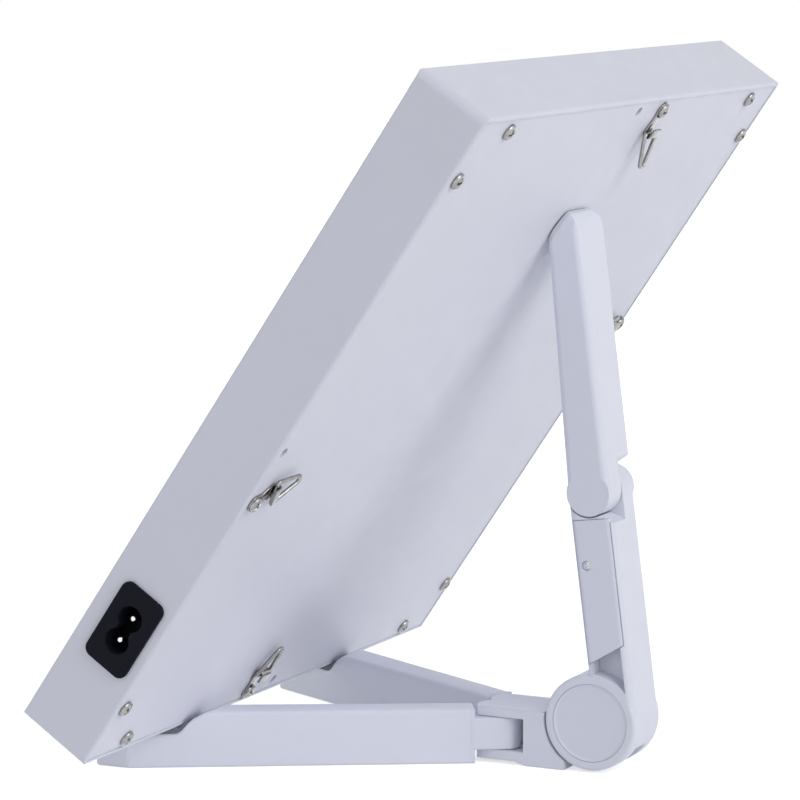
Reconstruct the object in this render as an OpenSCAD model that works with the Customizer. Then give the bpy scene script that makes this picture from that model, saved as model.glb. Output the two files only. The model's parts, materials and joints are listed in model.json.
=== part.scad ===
// Square light therapy panel that leans on a folding stand.
// Frame: +Z up, the light face looks toward -Y and upward, the stand is on the +Y side.
// The origin is on the table, under the stand's base, midway between the two leg pins.

/* [Panel] */
// Side of the square panel
panel_size = 250; // [230:1:280]
// Depth of the panel from light face to back
panel_depth = 26.4; // [25:0.2:34]
// Lean of the panel back from upright, in degrees
panel_lean = 34; // [28:1:38]
// Distance from the leg pins forward to the panel's lowest edge
panel_reach = 93; // [90:0.5:98]
// Height of the panel's lowest edge above the table
panel_lift = 13.5; // [13:0.1:16]
// Wall of the moulded frame
frame_wall = 2.4; // [2:0.1:3]
// Rounding along the front edges of the frame
front_round = 1; // [0.6:0.1:4]
// Rounding at the frame's corners seen from the front
corner_round = 3; // [2:0.5:5]
// Rounding along the back edges of the frame
back_round = 1; // [0.5:0.1:2]
// Width of the bezel around the window
bezel_w = 9; // [7:0.5:12]
// Thickness of the bezel and of the frame's front
bezel_t = 2; // [1.6:0.1:3]

/* [Panel back] */
// Thickness of the back plate
back_plate_t = 2; // [1.5:0.1:2.4]
// Width of the rim that shows around the back plate
back_rim = 1.9; // [1.5:0.1:2.3]
// How far the back plate sits below the rim
back_inset = 0.3; // [0.1:0.1:0.8]
// Distance of the cover screws from the nearest edge
screw_edge = 6; // [5.5:0.1:8]
// Distance of the cover screws from the corner along the edge
screw_corner = 22.6; // [18:0.2:40]
// Diameter of the cover screws' heads
screw_head_d = 5.6; // [5:0.1:6]
// Height of the cover screws' heads
screw_head_h = 1.7; // [1.2:0.1:2.4]
// Diameter of the cover screws' threads
screw_d = 2.9; // [2.5:0.1:3.4]
// Length of the cover screws under the head
screw_len = 9; // [7:0.5:11]
// Diameter of the spare fixing hole at the middle of each edge
spare_hole_d = 3.4; // [3:0.1:4]
// Distance of the spare fixing holes from the edge
spare_hole_edge = 5.2; // [4.6:0.1:6]

/* [Hangers] */
// Distance of each hanger from the middle of its edge
hanger_offset = 19.4; // [15:0.2:40]
// Distance of a hanger's screw from the edge
hanger_screw_edge = 5.4; // [5.2:0.1:6]
// Turn of the right hanger on its screw, in degrees
right_hanger_turn = 24; // [0:1:30]
// Width of a hanger's strap at the ring
strap_w = 7; // [6:0.1:7.2]
// Width of a hanger's strap beside its screw
strap_neck = 4.6; // [4:0.1:6]
// Thickness of a hanger's strap
strap_t = 0.8; // [0.6:0.1:1]
// Distance of a hanger's ring hinge from the edge
ring_hinge_edge = 14; // [13:0.5:18]
// Diameter of the ring's wire
ring_wire_d = 1.6; // [1.2:0.1:1.6]
// Width of the ring at its hinge
ring_w = 10; // [9:0.5:14]
// Length of the ring from hinge to tip
ring_len = 11.5; // [9:0.5:16]
// Tilt of the upper ring out from the back, in degrees
upper_ring_tilt = 17; // [5:1:40]
// Tilt of the other three rings out from the back, in degrees
ring_tilt = 4; // [3:1:20]

/* [Light board] */
// Thickness of the clear window
window_t = 2; // [1.5:0.1:3]
// Gap that the spacer keeps between window and board
spacer_h = 2.8; // [2.7:0.1:4]
// Thickness of the light board
board_t = 1.6; // [1:0.1:2]
// Number of emitters along one side
emitter_count = 15; // [7:2:15]
// Pitch of the emitters
emitter_pitch = 14.6; // [12:0.2:15]
// Diameter of an emitter's base
emitter_d = 5; // [3:0.1:6]
// Height of an emitter
emitter_h = 2.3; // [1.5:0.1:2.5]

/* [Inlet] */
// Height of the inlet's middle up the panel's side
inlet_v = 46.8; // [40:0.2:120]
// Length of the inlet's flange up the panel
flange_l = 29; // [26:0.2:32]
// Width of the inlet's flange across the panel
flange_w = 16.6; // [15:0.1:18]
// Thickness of the inlet's flange
flange_t = 1.4; // [1:0.1:2.5]
// Distance of the inlet's middle from the back face
inlet_depth = 11.8; // [10.5:0.1:12]
// Spacing of the two contact pins
pin_pitch = 8.6; // [8.4:0.1:8.8]
// Diameter of a contact pin
pin_d = 2.4; // [2.2:0.1:2.6]
// Diameter of each lobe of the figure-eight socket
lobe_d = 8.4; // [8:0.1:8.6]
// Width of the socket's waist
waist_w = 5; // [4.4:0.1:6]
// Depth of the socket
socket_depth = 11; // [9:0.5:12]

/* [Stand base] */
// Distance of the arm's axle behind the leg pins
axle_y = 32.5; // [32:0.5:38]
// Height of the arm's axle above the table
axle_z = 16.6; // [16.4:0.1:18]
// Radius of the round knuckle at the foot of the arm
knuckle_r = 16; // [15:0.2:16.2]
// Diameter of the two round caps
cap_d = 25.8; // [22:0.2:27]
// Thickness of the two round caps
cap_t = 1.8; // [1.2:0.1:2.4]
// Diameter of the axle bolt
axle_d = 5.8; // [5:0.1:7]
// Thickness of the base's tongue between the arm's cheeks
tongue_t = 7; // [6:0.2:8]
// Thickness of each friction washer
washer_t = 0.6; // [0.4:0.1:1]
// Half the distance between the two leg pins
leg_pin_x = 5.6; // [5.5:0.1:6]
// Diameter of the leg pins
leg_pin_d = 3.2; // [2.6:0.1:3.6]
// Thickness of the base's lower plate
base_low_t = 4.4; // [3.5:0.1:5]
// Height of the base's underside in front of its foot
base_foot_h = 1.2; // [0.6:0.1:1.6]
// Height of the base's top face
base_h = 18.7; // [18.6:0.1:20]
// Thickness of the base's upper plate
base_top_t = 3.1; // [2.6:0.1:3.6]

/* [Legs] */
// Half the angle between the open legs, in degrees
leg_open = 27.5; // [24:0.5:29]
// Length of a leg from its pin to its tip
leg_len = 136; // [134:1:142]
// Height of a leg's beam
leg_h = 18.5; // [17.6:0.1:19]
// Width of a leg next to the base
leg_w_base = 10.6; // [10:0.1:10.8]
// Width of a leg at its tip
leg_w_tip = 13.6; // [12:0.2:16]
// Height of a leg's tray floor
tray_z = 11.2; // [10:0.1:11.6]
// Length of a leg's tray, forward of the panel's lowest edge
tray_len = 14; // [12:0.5:15]
// Height of the lip in front of a tray
lip_z = 21.2; // [18:0.2:21.6]
// Thickness of the rubber liner on the step behind a tray
liner_t = 1; // [0.6:0.1:1]

/* [Arm] */
// Width of the arm
arm_w = 22; // [20:0.5:24]
// Depth of the arm from front to back
arm_d = 14.9; // [13.6:0.1:15]
// Distance from the axle up to the elbow
elbow_s = 75.5; // [70:0.5:80]
// Distance from the axle up to the arm's tip
tip_s = 169; // [165:0.5:172]
// Depth of the upper arm at its tip
tip_d = 11.4; // [10:0.1:12]
// How far the panel's back would cut into the arm's tip, which is trimmed flat there
tip_trim = 6; // [5:0.1:7]
// Rounding of the arm's long edges
arm_round = 2.4; // [1:0.1:3]
// Diameter of the elbow's pin
elbow_pin_d = 4; // [3:0.1:5]
// Wall of the arm around its hollow
arm_wall = 2.2; // [1.8:0.1:2.6]
// Thickness of the cover on the lower arm's side
side_cover_t = 2; // [1.6:0.1:2.4]
// Distance from the axle up to the cover's screw
cover_screw_s = 52; // [48:0.5:56]
// Distance of the cover's screw behind the axle's line
cover_screw_b = 5.2; // [5:0.1:9]
// Thickness of the rubber pad at the tip
tip_pad_t = 1.2; // [0.8:0.1:1.6]

/* [Clearances] */
// Gap between pieces that lie close without touching
gap = 0.3; // [0.2:0.05:0.4]
// Radial clearance of a pin that turns in its hole
run_gap = 0.06; // [0.02:0.01:0.1]
// Gap between the round faces of two arms or of arm and base
swing_gap = 0.5; // [0.3:0.05:0.8]

/* [Hidden] */

$fn = 64;
half = panel_size / 2;
white = "whitesmoke";
pale = "gainsboro";
zinc = "silver";

// Depths below the back face, all measured along the panel's thickness
plate_out = -back_inset;
plate_in = plate_out - back_plate_t;
front_in = -panel_depth + bezel_t;
window_in = front_in + window_t;
spacer_in = window_in + spacer_h;
board_in = spacer_in + board_t;
plate_half = half - back_rim;
window_half = half - frame_wall - gap;
spacer_w = 6;
board_screw_shift = 12;
board_screw_tip = 0.4;
small_head_h = 1.2;
post_bite = 0.6;
post_r = screw_edge - frame_wall + post_bite;
boss_depth = screw_len + 2;
hole_slack = 0.3;

// How far a cut runs past the face that it opens
over = 1;

// The light board and the driver behind it
board_half = window_half - gap;
driver_l = 90;
driver_w = 44;
driver_post_h = 2.2;
driver_t = 1.6;
driver_x = 20;
driver_v = 62;
driver_post_r = 3;
driver_post_edge = 5;
driver_screw_tip = 0.2;
driver_face = plate_in - driver_post_h - driver_t;
transformer_x = 6;
transformer_w = 18;
transformer_l = 20;
transformer_h = 8.5;
transformer_corner = 2;
capacitor_h = 9;
capacitor_r = 5;
capacitor_edge = 17;
capacitor_v = 8;
small_capacitor_r = 4;
small_capacitor_v = 10;
chip_l = 8;
chip_w = 6;
chip_h = 2.4;
chip_corner = 0.6;
chip_edge = 17;
chip_step = 14;
chip_v = 8;
emitter_step = 0.6;

// Insulated leads inside the panel
lead_d = 1.8;
bend_swell = 0.12;
lead_y = driver_face - 2.2;
lead_out = 10;
lead_edge = 9;
lead_apart = 6;
board_lead_edge = 6;

// The inlet
inlet_body_l = pin_pitch + lobe_d + 4;
inlet_body_w = lobe_d + 2.2;
inlet_body_len = socket_depth + 3.5;
inlet_n = -inlet_depth;
inlet_pin_len = socket_depth - 1.5;
pin_tail = 2;
flange_corner = 3;
inlet_corner = 1.5;

// The hangers' loops around the rings' wire
loop_r = ring_wire_d / 2 + run_gap + strap_t;
loop_y = plate_out + loop_r;
hanger_head_h = 1.4;
strap_end_d = 6;

// Stand
axle_cheek = tongue_t / 2 + washer_t;
arm_front = knuckle_r - arm_d;
elbow_b = arm_front + arm_d / 2;
elbow_r = arm_d / 2;
eye_gap_r = elbow_r + swing_gap;
tongue_r = knuckle_r - 2.2;
bolt_head_d = 10;
bolt_head_h = 3;
bolt_seat = arm_w / 2 - cap_t - gap;
bolt_tip = 0.5;
bolt_neck = 1;
cap_seat_d = cap_d + gap;
cap_edge = 0.5;
knuckle_edge = 1.2;
tine_gap = 0.2;
tine_low = base_low_t + tine_gap;
tine_high = base_h - base_top_t - tine_gap;
eye_r = leg_w_base / 2;
ear_r = 9.5;
base_w = 22;
base_short = 9;
base_back = axle_y - base_short;
slot_gap = 3.4;
leg_pin_roof = 1;
leg_pin_sink = 0.4;
leg_pin_low = base_foot_h + leg_pin_sink;
base_foot_l = 14;
base_foot_ramp = 4;
base_rib_w = 4;
tongue_root = eye_r + 4;
tongue_drop = 9.5;
tongue_swing = 50;
tongue_room_h = 1.6 * knuckle_r;
washer_rim = 2;
notch_drop = 2.7;
notch_run = 5;
elbow_pin_end = 2;

// The arm's lean brings the front of its tip to the panel's back
back_away = (axle_y + panel_reach) * cos(panel_lean) - (axle_z - panel_lift) * sin(panel_lean);
tip_front = knuckle_r - tip_d;
tip_turn = asin((back_away + tip_trim) / norm([tip_s, tip_front])) + atan2(tip_front, tip_s);
arm_lean = tip_turn - panel_lean;

// The lower arm's hollow, its side cover and the cover's screw
cover_low = knuckle_r + 3.6;
cover_rise = 5.6;
cover_high = elbow_s - eye_gap_r - 1.6;
pocket_rim = 0.6;
pocket_deep = 6;
cover_post_wall = 2;
cover_screw_floor = 4;
cover_screw_tip = 5;
cover_screw_d = 2.2;
cover_head_d = 3.2;
cover_head_seat = 1;
cover_head_sink = 0.3;

// The upper arm's tip
tip_corner = 7;
tip_back_r = tip_d - 2;
bar_spare = 20;

// The legs' tips, steps and liners
leg_corner = 3;
leg_side_rear = 20;
leg_side_front = 40;
lip_slope = 1;
liner_edge = 1;
liner_step_run = 10;
step_drop = 3;
step_run = 3;
liner_top = leg_h - step_drop;
liner_floor_t = panel_lift - gap - tray_z;

// A rectangle centred on the origin with round corners
module round_rect(w, h, r) {
    square([w, h - 2 * r], center = true);
    square([w - 2 * r, h], center = true);
    for (x = [-1, 1], y = [-1, 1])
        translate([x * (w / 2 - r), y * (h / 2 - r)])
            circle(r);
}

// A disc along Z from 0 to h with round edges
module round_disc(r, h, edge) {
    rotate_extrude($fn = 96) {
        square([r - edge, h]);
        translate([0, edge])
            square([r, h - 2 * edge]);
        for (z = [edge, h - edge])
            translate([r - edge, z])
                circle(edge);
    }
}

// Panel frame: X across, Y out of the back, Z up the panel from its lowest edge
module on_panel() {
    translate([0, -panel_reach, panel_lift])
        rotate([-panel_lean, 0, 0])
            children();
}

// A place on the panel's back: edge k of four, "along" that edge, "inward" from it
module on_edge(k, along, inward) {
    translate([0, 0, half])
        rotate([0, -90 * k, 0])
            translate([along, 0, half - inward])
                children();
}

// Turns a part drawn along Z so that it runs out of the panel's back
module out_of_back() {
    rotate([-90, 0, 0])
        children();
}

// The eight cover screws, two by each corner
module at_cover_screws() {
    for (k = [0:3], side = [-1, 1])
        on_edge(k, side * (half - screw_corner), screw_edge)
            children();
}

// The panel's outer block with its rounded edges
module frame_block() {
    intersection() {
        translate([0, 0, half])
            rotate([90, 0, 0])
                linear_extrude(panel_depth)
                    round_rect(panel_size, panel_size, corner_round);
        linear_extrude(panel_size)
            frame_section();
        translate([0, 0, half])
            rotate([0, 90, 0])
                translate([0, 0, -half])
                    linear_extrude(panel_size)
                        frame_section();
    }
}

// The panel's section with large front corners and small back corners
module frame_section() {
    translate([-half + front_round, -panel_depth])
        square([panel_size - 2 * front_round, front_round]);
    translate([-half, -panel_depth + front_round])
        square([panel_size, panel_depth - front_round - back_round]);
    translate([-half + back_round, -back_round])
        square([panel_size - 2 * back_round, back_round]);
    for (x = [-1, 1]) {
        translate([x * (half - front_round), -panel_depth + front_round])
            circle(front_round);
        translate([x * (half - back_round), -back_round])
            circle(back_round);
    }
}

// A square slab across the panel between two depths
module slab(half_w, from, to) {
    translate([-half_w, from, half - half_w])
        cube([2 * half_w, to - from, 2 * half_w]);
}

module front_frame() {
    color(white)
        on_panel()
            difference() {
                union() {
                    difference() {
                        frame_block();
                        slab(half - frame_wall, front_in, over);
                        slab(half - bezel_w, -panel_depth - over, 0);
                    }
                    at_cover_screws()
                        translate([0, plate_in - boss_depth, 0])
                            out_of_back()
                                cylinder(r = post_r, h = boss_depth);
                }
                slab(plate_half + gap / 2, plate_in, over);
                at_cover_screws()
                    translate([0, plate_in - screw_len, 0])
                        out_of_back()
                            cylinder(d = screw_d, h = screw_len + over);
                inlet_cut();
            }
}

// The hole in the frame's side for the inlet's body
module inlet_cut() {
    translate([half, inlet_n, inlet_v])
        rotate([0, 90, 0])
            cube([inlet_body_l + gap, inlet_body_w + gap, 4 * frame_wall], center = true);
}

module front_window() {
    color("lightcyan", 0.4)
        on_panel()
            slab(window_half, front_in, window_in);
}

module board_spacer() {
    color(white)
        on_panel()
            difference() {
                slab(window_half, window_in, spacer_in);
                slab(window_half - spacer_w, window_in - over, spacer_in + over);
                at_board_screws()
                    translate([0, window_in, 0])
                        out_of_back()
                            cylinder(d = screw_d, h = 2 * spacer_h);
            }
}

// The four screws that hold the light board to its spacer
module at_board_screws() {
    for (k = [0:3])
        on_edge(k, half - screw_corner - board_screw_shift, frame_wall + spacer_w / 2)
            children();
}

module light_board() {
    color(white)
        on_panel()
            difference() {
                slab(board_half, spacer_in, board_in);
                at_board_screws()
                    translate([0, spacer_in - over, 0])
                        out_of_back()
                            cylinder(d = screw_d + hole_slack, h = board_t + 2 * over);
            }
}

module board_screws() {
    color(zinc)
        on_panel()
            at_board_screws()
                translate([0, window_in + board_screw_tip, 0])
                    out_of_back()
                        pan_screw(spacer_h + board_t - board_screw_tip, small_head_h);
}

// A pan-head screw along Z: its shank first, its head from z = len up
module pan_screw(len, head_h) {
    cylinder(d = screw_d, h = len);
    translate([0, 0, len])
        intersection() {
            cylinder(d = screw_head_d, h = head_h);
            translate([0, 0, head_h - screw_head_d])
                sphere(d = 2 * screw_head_d);
        }
}

// Emitters of one colour, every second place of the grid
module emitters(parity) {
    reach = (emitter_count - 1) / 2;
    for (i = [-reach:reach], j = [-reach:reach])
        if ((i + j + 2 * reach) % 2 == parity)
            translate([i * emitter_pitch, spacer_in, half + j * emitter_pitch])
                rotate([90, 0, 0])
                    emitter();
}

// One emitter: a round base with a low dome
module emitter() {
    cylinder(d = emitter_d, h = emitter_h / 2);
    translate([0, 0, emitter_h / 2])
        intersection() {
            cylinder(d = emitter_d - emitter_step, h = emitter_h / 2);
            translate([0, 0, emitter_h / 2 - emitter_d])
                sphere(r = emitter_d);
        }
}

module red_emitters() {
    color("red")
        on_panel()
            emitters(0);
}

module infrared_emitters() {
    color("mistyrose")
        on_panel()
            emitters(1);
}

module back_plate() {
    color(white)
        on_panel()
            difference() {
                union() {
                    slab(plate_half, plate_in, plate_out);
                    at_driver_posts()
                        translate([0, plate_in - driver_post_h, 0])
                            out_of_back()
                                cylinder(r = driver_post_r, h = driver_post_h);
                }
                at_cover_screws()
                    translate([0, plate_in - over, 0])
                        out_of_back()
                            cylinder(d = screw_d + hole_slack, h = back_plate_t + 2 * over);
                at_spare_holes()
                    translate([0, plate_in - over, 0])
                        out_of_back()
                            cylinder(d = spare_hole_d, h = back_plate_t + 2 * over);
                at_hangers()
                    translate([0, plate_in - over, -hanger_screw_edge])
                        out_of_back()
                            cylinder(d = screw_d, h = back_plate_t + 2 * over);
                at_driver_posts()
                    translate([0, plate_in - driver_post_h - over, 0])
                        out_of_back()
                            cylinder(d = screw_d, h = driver_post_h + over);
            }
}

module at_spare_holes() {
    for (k = [0:3])
        on_edge(k, 0, spare_hole_edge)
            children();
}

// The four hangers, each beside the middle of its edge, drawn from the edge inward
module at_hangers() {
    for (k = [0:3])
        at_hanger(k)
            children();
}

// Hangers on the upper and lower edges lie to one side, those on the side edges to the other.
// The right one, edge 3, is turned on its screw.
module at_hanger(k) {
    on_edge(k, k % 2 == 0 ? -hanger_offset : hanger_offset, hanger_screw_edge)
        rotate([0, k == 3 ? right_hanger_turn : 0, 0])
            translate([0, 0, hanger_screw_edge])
                children();
}

module at_driver_posts() {
    across = driver_l / 2 - driver_post_edge;
    up = driver_w / 2 - driver_post_edge;
    for (x = [-1, 1], z = [-1, 1])
        translate([driver_x + x * across, 0, driver_v + z * up])
            children();
}

module cover_screws() {
    color(zinc)
        on_panel()
            at_cover_screws()
                translate([0, plate_out - screw_len, 0])
                    out_of_back()
                        pan_screw(screw_len, screw_head_h);
}

module driver_board() {
    color("seagreen")
        on_panel()
            difference() {
                translate([driver_x - driver_l / 2, driver_face, driver_v - driver_w / 2])
                    cube([driver_l, driver_t, driver_w]);
                at_driver_posts()
                    translate([0, driver_face - over, 0])
                        out_of_back()
                            cylinder(d = screw_d + hole_slack, h = driver_t + 2 * over);
            }
}

module driver_screws() {
    color(zinc)
        on_panel()
            at_driver_posts()
                translate([0, driver_face + driver_t + driver_post_h - driver_screw_tip, 0])
                    rotate([90, 0, 0])
                        pan_screw(driver_t + driver_post_h - driver_screw_tip, small_head_h);
}

// A block that stands on the driver board and reaches toward the light board
module on_driver(x, v) {
    translate([driver_x + x, driver_face, driver_v + v])
        rotate([90, 0, 0])
            children();
}

module driver_transformer() {
    color("gold")
        on_panel()
            on_driver(transformer_x, 0)
                linear_extrude(transformer_h)
                    round_rect(transformer_w, transformer_l, transformer_corner);
}

module driver_capacitors() {
    color("darkslateblue")
        on_panel()
            for (place = [
                    [driver_l / 2 - capacitor_edge, capacitor_v, capacitor_r],
                    [driver_l / 2 - capacitor_edge, -capacitor_v, capacitor_r],
                    [chip_edge + chip_step - driver_l / 2, small_capacitor_v, small_capacitor_r]])
                on_driver(place[0], place[1])
                    cylinder(r = place[2], h = capacitor_h);
}

module driver_chips() {
    color("dimgray")
        on_panel()
            for (place = [[chip_step, -chip_v], [0, -chip_v], [0, chip_v]])
                on_driver(chip_edge + place[0] - driver_l / 2, place[1])
                    linear_extrude(chip_h)
                        round_rect(chip_l, chip_w, chip_corner);
}

// The figure-eight outline of the inlet's socket
module socket_outline() {
    for (v = [-1, 1])
        translate([v * pin_pitch / 2, 0])
            circle(d = lobe_d);
    square([pin_pitch, waist_w], center = true);
}

// Inlet frame: X up the panel, Y across its thickness, Z out of its side
module on_inlet() {
    on_panel()
        translate([half, inlet_n, inlet_v])
            rotate([0, 90, 0])
                children();
}

module inlet_housing() {
    color("black")
        on_inlet()
            difference() {
                union() {
                    linear_extrude(flange_t)
                        round_rect(flange_l, flange_w, flange_corner);
                    translate([0, 0, -inlet_body_len + flange_t])
                        linear_extrude(inlet_body_len)
                            round_rect(inlet_body_l, inlet_body_w, inlet_corner);
                }
                translate([0, 0, flange_t - socket_depth])
                    linear_extrude(socket_depth + over)
                        socket_outline();
                at_inlet_pins()
                    translate([0, 0, -inlet_body_len])
                        cylinder(d = pin_d, h = inlet_body_len);
            }
}

module at_inlet_pins() {
    for (v = [-1, 1])
        translate([v * pin_pitch / 2, 0, 0])
            children();
}

module inlet_pins() {
    straight = inlet_body_len - socket_depth + pin_tail + inlet_pin_len - pin_d / 2;
    color(zinc)
        on_inlet()
            at_inlet_pins()
                translate([0, 0, flange_t - inlet_body_len - pin_tail]) {
                    cylinder(d = pin_d, h = straight);
                    translate([0, 0, straight])
                        sphere(d = pin_d);
                }
}

// A round lead of the given diameter through a row of points
module lead(points, d) {
    for (i = [0:len(points) - 2])
        lead_run(points[i], points[i + 1], d);
    for (i = [1:len(points) - 2])
        translate(points[i])
            sphere(d = d + bend_swell, $fn = 48);
}

module lead_run(a, b, d) {
    run = b - a;
    translate(a)
        rotate([0, acos(run[2] / norm(run)), atan2(run[1], run[0])])
            cylinder(d = d, h = norm(run), $fn = 48);
}

// Two insulated leads from the inlet's contacts to the driver board
module mains_leads() {
    start_x = half + flange_t - inlet_body_len - pin_tail;
    end_x = driver_x + driver_l / 2 - lead_edge;
    color("saddlebrown")
        on_panel()
            for (k = [-1, 1])
                lead([
                    [start_x, inlet_n, inlet_v - k * pin_pitch / 2],
                    [start_x - lead_out, inlet_n, inlet_v - k * pin_pitch / 2],
                    [end_x, lead_y, driver_v - k * lead_apart],
                    [end_x, driver_face, driver_v - k * lead_apart]], lead_d);
}

// Two insulated leads from the driver board to the light board
module board_leads() {
    lead_x = driver_x - driver_l / 2 + board_lead_edge;
    color("firebrick")
        on_panel()
            for (k = [-1, 1])
                lead_run(
                    [lead_x, driver_face, driver_v + k * lead_apart],
                    [lead_x, board_in, driver_v + k * lead_apart], lead_d);
}

// A strap's flat part from its ring to its screw, seen from behind
module strap_outline() {
    polygon([
        [-strap_w / 2, ring_hinge_edge],
        [strap_w / 2, ring_hinge_edge],
        [strap_neck / 2, hanger_screw_edge],
        [-strap_neck / 2, hanger_screw_edge]]);
}

module hanger_straps() {
    color(zinc)
        on_panel()
            at_hangers()
                difference() {
                    union() {
                        translate([0, plate_out, -hanger_screw_edge])
                            out_of_back()
                                cylinder(d = strap_end_d, h = strap_t);
                        translate([0, plate_out, 0])
                            out_of_back()
                                linear_extrude(strap_t)
                                    strap_outline();
                        translate([-strap_w / 2, loop_y, -ring_hinge_edge])
                            rotate([0, 90, 0])
                                cylinder(r = loop_r, h = strap_w);
                    }
                    translate([-strap_w, loop_y, -ring_hinge_edge])
                        rotate([0, 90, 0])
                            cylinder(d = ring_wire_d + 2 * run_gap, h = 2 * strap_w);
                    translate([0, plate_out - over, -hanger_screw_edge])
                        out_of_back()
                            cylinder(d = screw_d, h = strap_t + 2 * over);
                }
}

module hanger_screws() {
    color(zinc)
        on_panel()
            at_hangers()
                translate([0, plate_in, -hanger_screw_edge])
                    out_of_back()
                        pan_screw(back_plate_t + strap_t, hanger_head_h);
}

// A closed loop of wire through a row of points, slightly swollen where it bends
module wire_loop(points, d) {
    count = len(points);
    for (i = [0:count - 1]) {
        lead_run(points[i], points[(i + 1) % count], d);
        translate(points[i])
            sphere(d = d + bend_swell, $fn = 48);
    }
}

// A triangular ring on hanger k, tilted out from the panel's back
module hanger_ring(k, tilt) {
    color(zinc)
        on_panel()
            at_hanger(k)
                translate([0, loop_y, -ring_hinge_edge])
                    rotate([tilt, 0, 0])
                        wire_loop([
                            [-ring_w / 2, 0, 0],
                            [ring_w / 2, 0, 0],
                            [ring_wire_d, 0, -ring_len],
                            [-ring_wire_d, 0, -ring_len]], ring_wire_d);
}

module upper_ring() {
    hanger_ring(0, upper_ring_tilt);
}

module left_ring() {
    hanger_ring(1, ring_tilt);
}

module lower_ring() {
    hanger_ring(2, ring_tilt);
}

module right_ring() {
    hanger_ring(3, ring_tilt);
}

// Axle frame: origin on the arm's axle, X along it
module on_axle() {
    translate([0, axle_y, axle_z])
        children();
}

// A cylinder along X between two places
module x_rod(d, from, to) {
    translate([from, 0, 0])
        rotate([0, 90, 0])
            cylinder(d = d, h = to - from);
}

// The plan of the base's plates: round ears around both leg pins and a block behind them
module base_plan() {
    intersection() {
        for (x = [-1, 1])
            translate([x * leg_pin_x, 0])
                circle(ear_r);
        square([base_w, 4 * ear_r], center = true);
    }
    translate([-base_w / 2, 0])
        square([base_w, base_back]);
}

module base_block() {
    color(white)
        difference() {
            union() {
                difference() {
                    linear_extrude(base_h)
                        base_plan();
                    translate([-base_w, -base_w, base_low_t])
                        cube([2 * base_w, base_w + eye_r + slot_gap, base_h - base_low_t - base_top_t]);
                    on_axle()
                        x_rod(2 * (knuckle_r + swing_gap), -base_w, base_w);
                }
                on_axle() {
                    x_rod(2 * tongue_r, -tongue_t / 2, tongue_t / 2);
                    translate([-tongue_t / 2, tongue_root - axle_y, -tongue_drop])
                        cube([tongue_t, axle_y - tongue_root, base_h - axle_z + tongue_drop]);
                }
            }
            on_axle()
                x_rod(axle_d + 2 * run_gap, -base_w, base_w);
            for (x = [-1, 1])
                translate([x * leg_pin_x, 0, -over])
                    cylinder(d = leg_pin_d, h = base_h - leg_pin_roof + over);
            base_hollow();
        }
}

// The room under the base in front of its foot, on both sides of the middle rib
module base_hollow() {
    foot_y = base_back - base_foot_l;
    for (x = [-1, 1])
        translate([x * (base_w + base_rib_w) / 2, 0, 0])
            rotate([90, 0, 90])
                linear_extrude(base_w, center = true)
                    polygon([
                        [-base_w, -over],
                        [foot_y, -over],
                        [foot_y, 0],
                        [foot_y - base_foot_ramp, base_foot_h],
                        [-base_w, base_foot_h]]);
}

module leg_pins() {
    color(zinc)
        for (x = [-1, 1])
            translate([x * leg_pin_x, 0, leg_pin_low])
                cylinder(d = leg_pin_d, h = base_h - leg_pin_roof - leg_pin_low);
}

module friction_washers() {
    color("dimgray")
        on_axle()
            for (x = [-1, 1])
                difference() {
                    x_rod(2 * (tongue_r - washer_rim), min(x * tongue_t / 2, x * axle_cheek),
                        max(x * tongue_t / 2, x * axle_cheek));
                    x_rod(axle_d + 2 * gap, -base_w, base_w);
                }
}

module axle_bolt() {
    color(zinc)
        on_axle() {
            x_rod(axle_d, bolt_tip - bolt_seat, bolt_seat - bolt_neck);
            x_rod(bolt_head_d, bolt_seat - bolt_head_h, bolt_seat);
        }
}

module axle_nut() {
    color(zinc)
        on_axle()
            difference() {
                translate([-bolt_seat, 0, 0])
                    rotate([0, 90, 0])
                        cylinder(d = bolt_head_d, h = bolt_head_h, $fn = 6);
                x_rod(axle_d, -base_w, base_w);
            }
}

module axle_caps() {
    color(pale)
        on_axle()
            for (x = [0, 1])
                mirror([x, 0, 0])
                    translate([arm_w / 2 - cap_t, 0, 0])
                        rotate([0, 90, 0])
                            round_disc(cap_d / 2, cap_t, cap_edge);
}

// Arm frame: origin on the axle, Y toward the arm's back, Z up along the arm
module on_arm() {
    on_axle()
        rotate([arm_lean, 0, 0])
            children();
}

// Draws a side view given as (back, up) points, between two places across the arm
module arm_side(from, to) {
    translate([from, 0, 0])
        rotate([90, 0, 90])
            linear_extrude(to - from)
                children();
}

// The arm's section with rounded long edges, from one height to another
module arm_bar(from, to) {
    translate([0, knuckle_r - arm_d / 2, from])
        linear_extrude(to - from)
            round_rect(arm_w, arm_d, arm_round);
}

// A wedge-shaped notch at the arm's back beside the elbow, upward or downward
module elbow_notch(way) {
    b = elbow_b + elbow_r - notch_run;
    s = elbow_s + way * elbow_r;
    polygon([[b, s], [b + 2 * notch_run, s + way * 2 * notch_drop], [b + 2 * notch_run, elbow_s],
             [b, elbow_s]]);
}

// Half of an elbow: an eye on the side the arm owns and a round seat on the other
module elbow_eye(from, to) {
    translate([0, elbow_b, elbow_s])
        x_rod(2 * elbow_r, from, to);
}

module elbow_seat(from, to, way) {
    translate([0, elbow_b, elbow_s])
        x_rod(2 * eye_gap_r, from, to);
    arm_side(from, to)
        elbow_notch(way);
}

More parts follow.
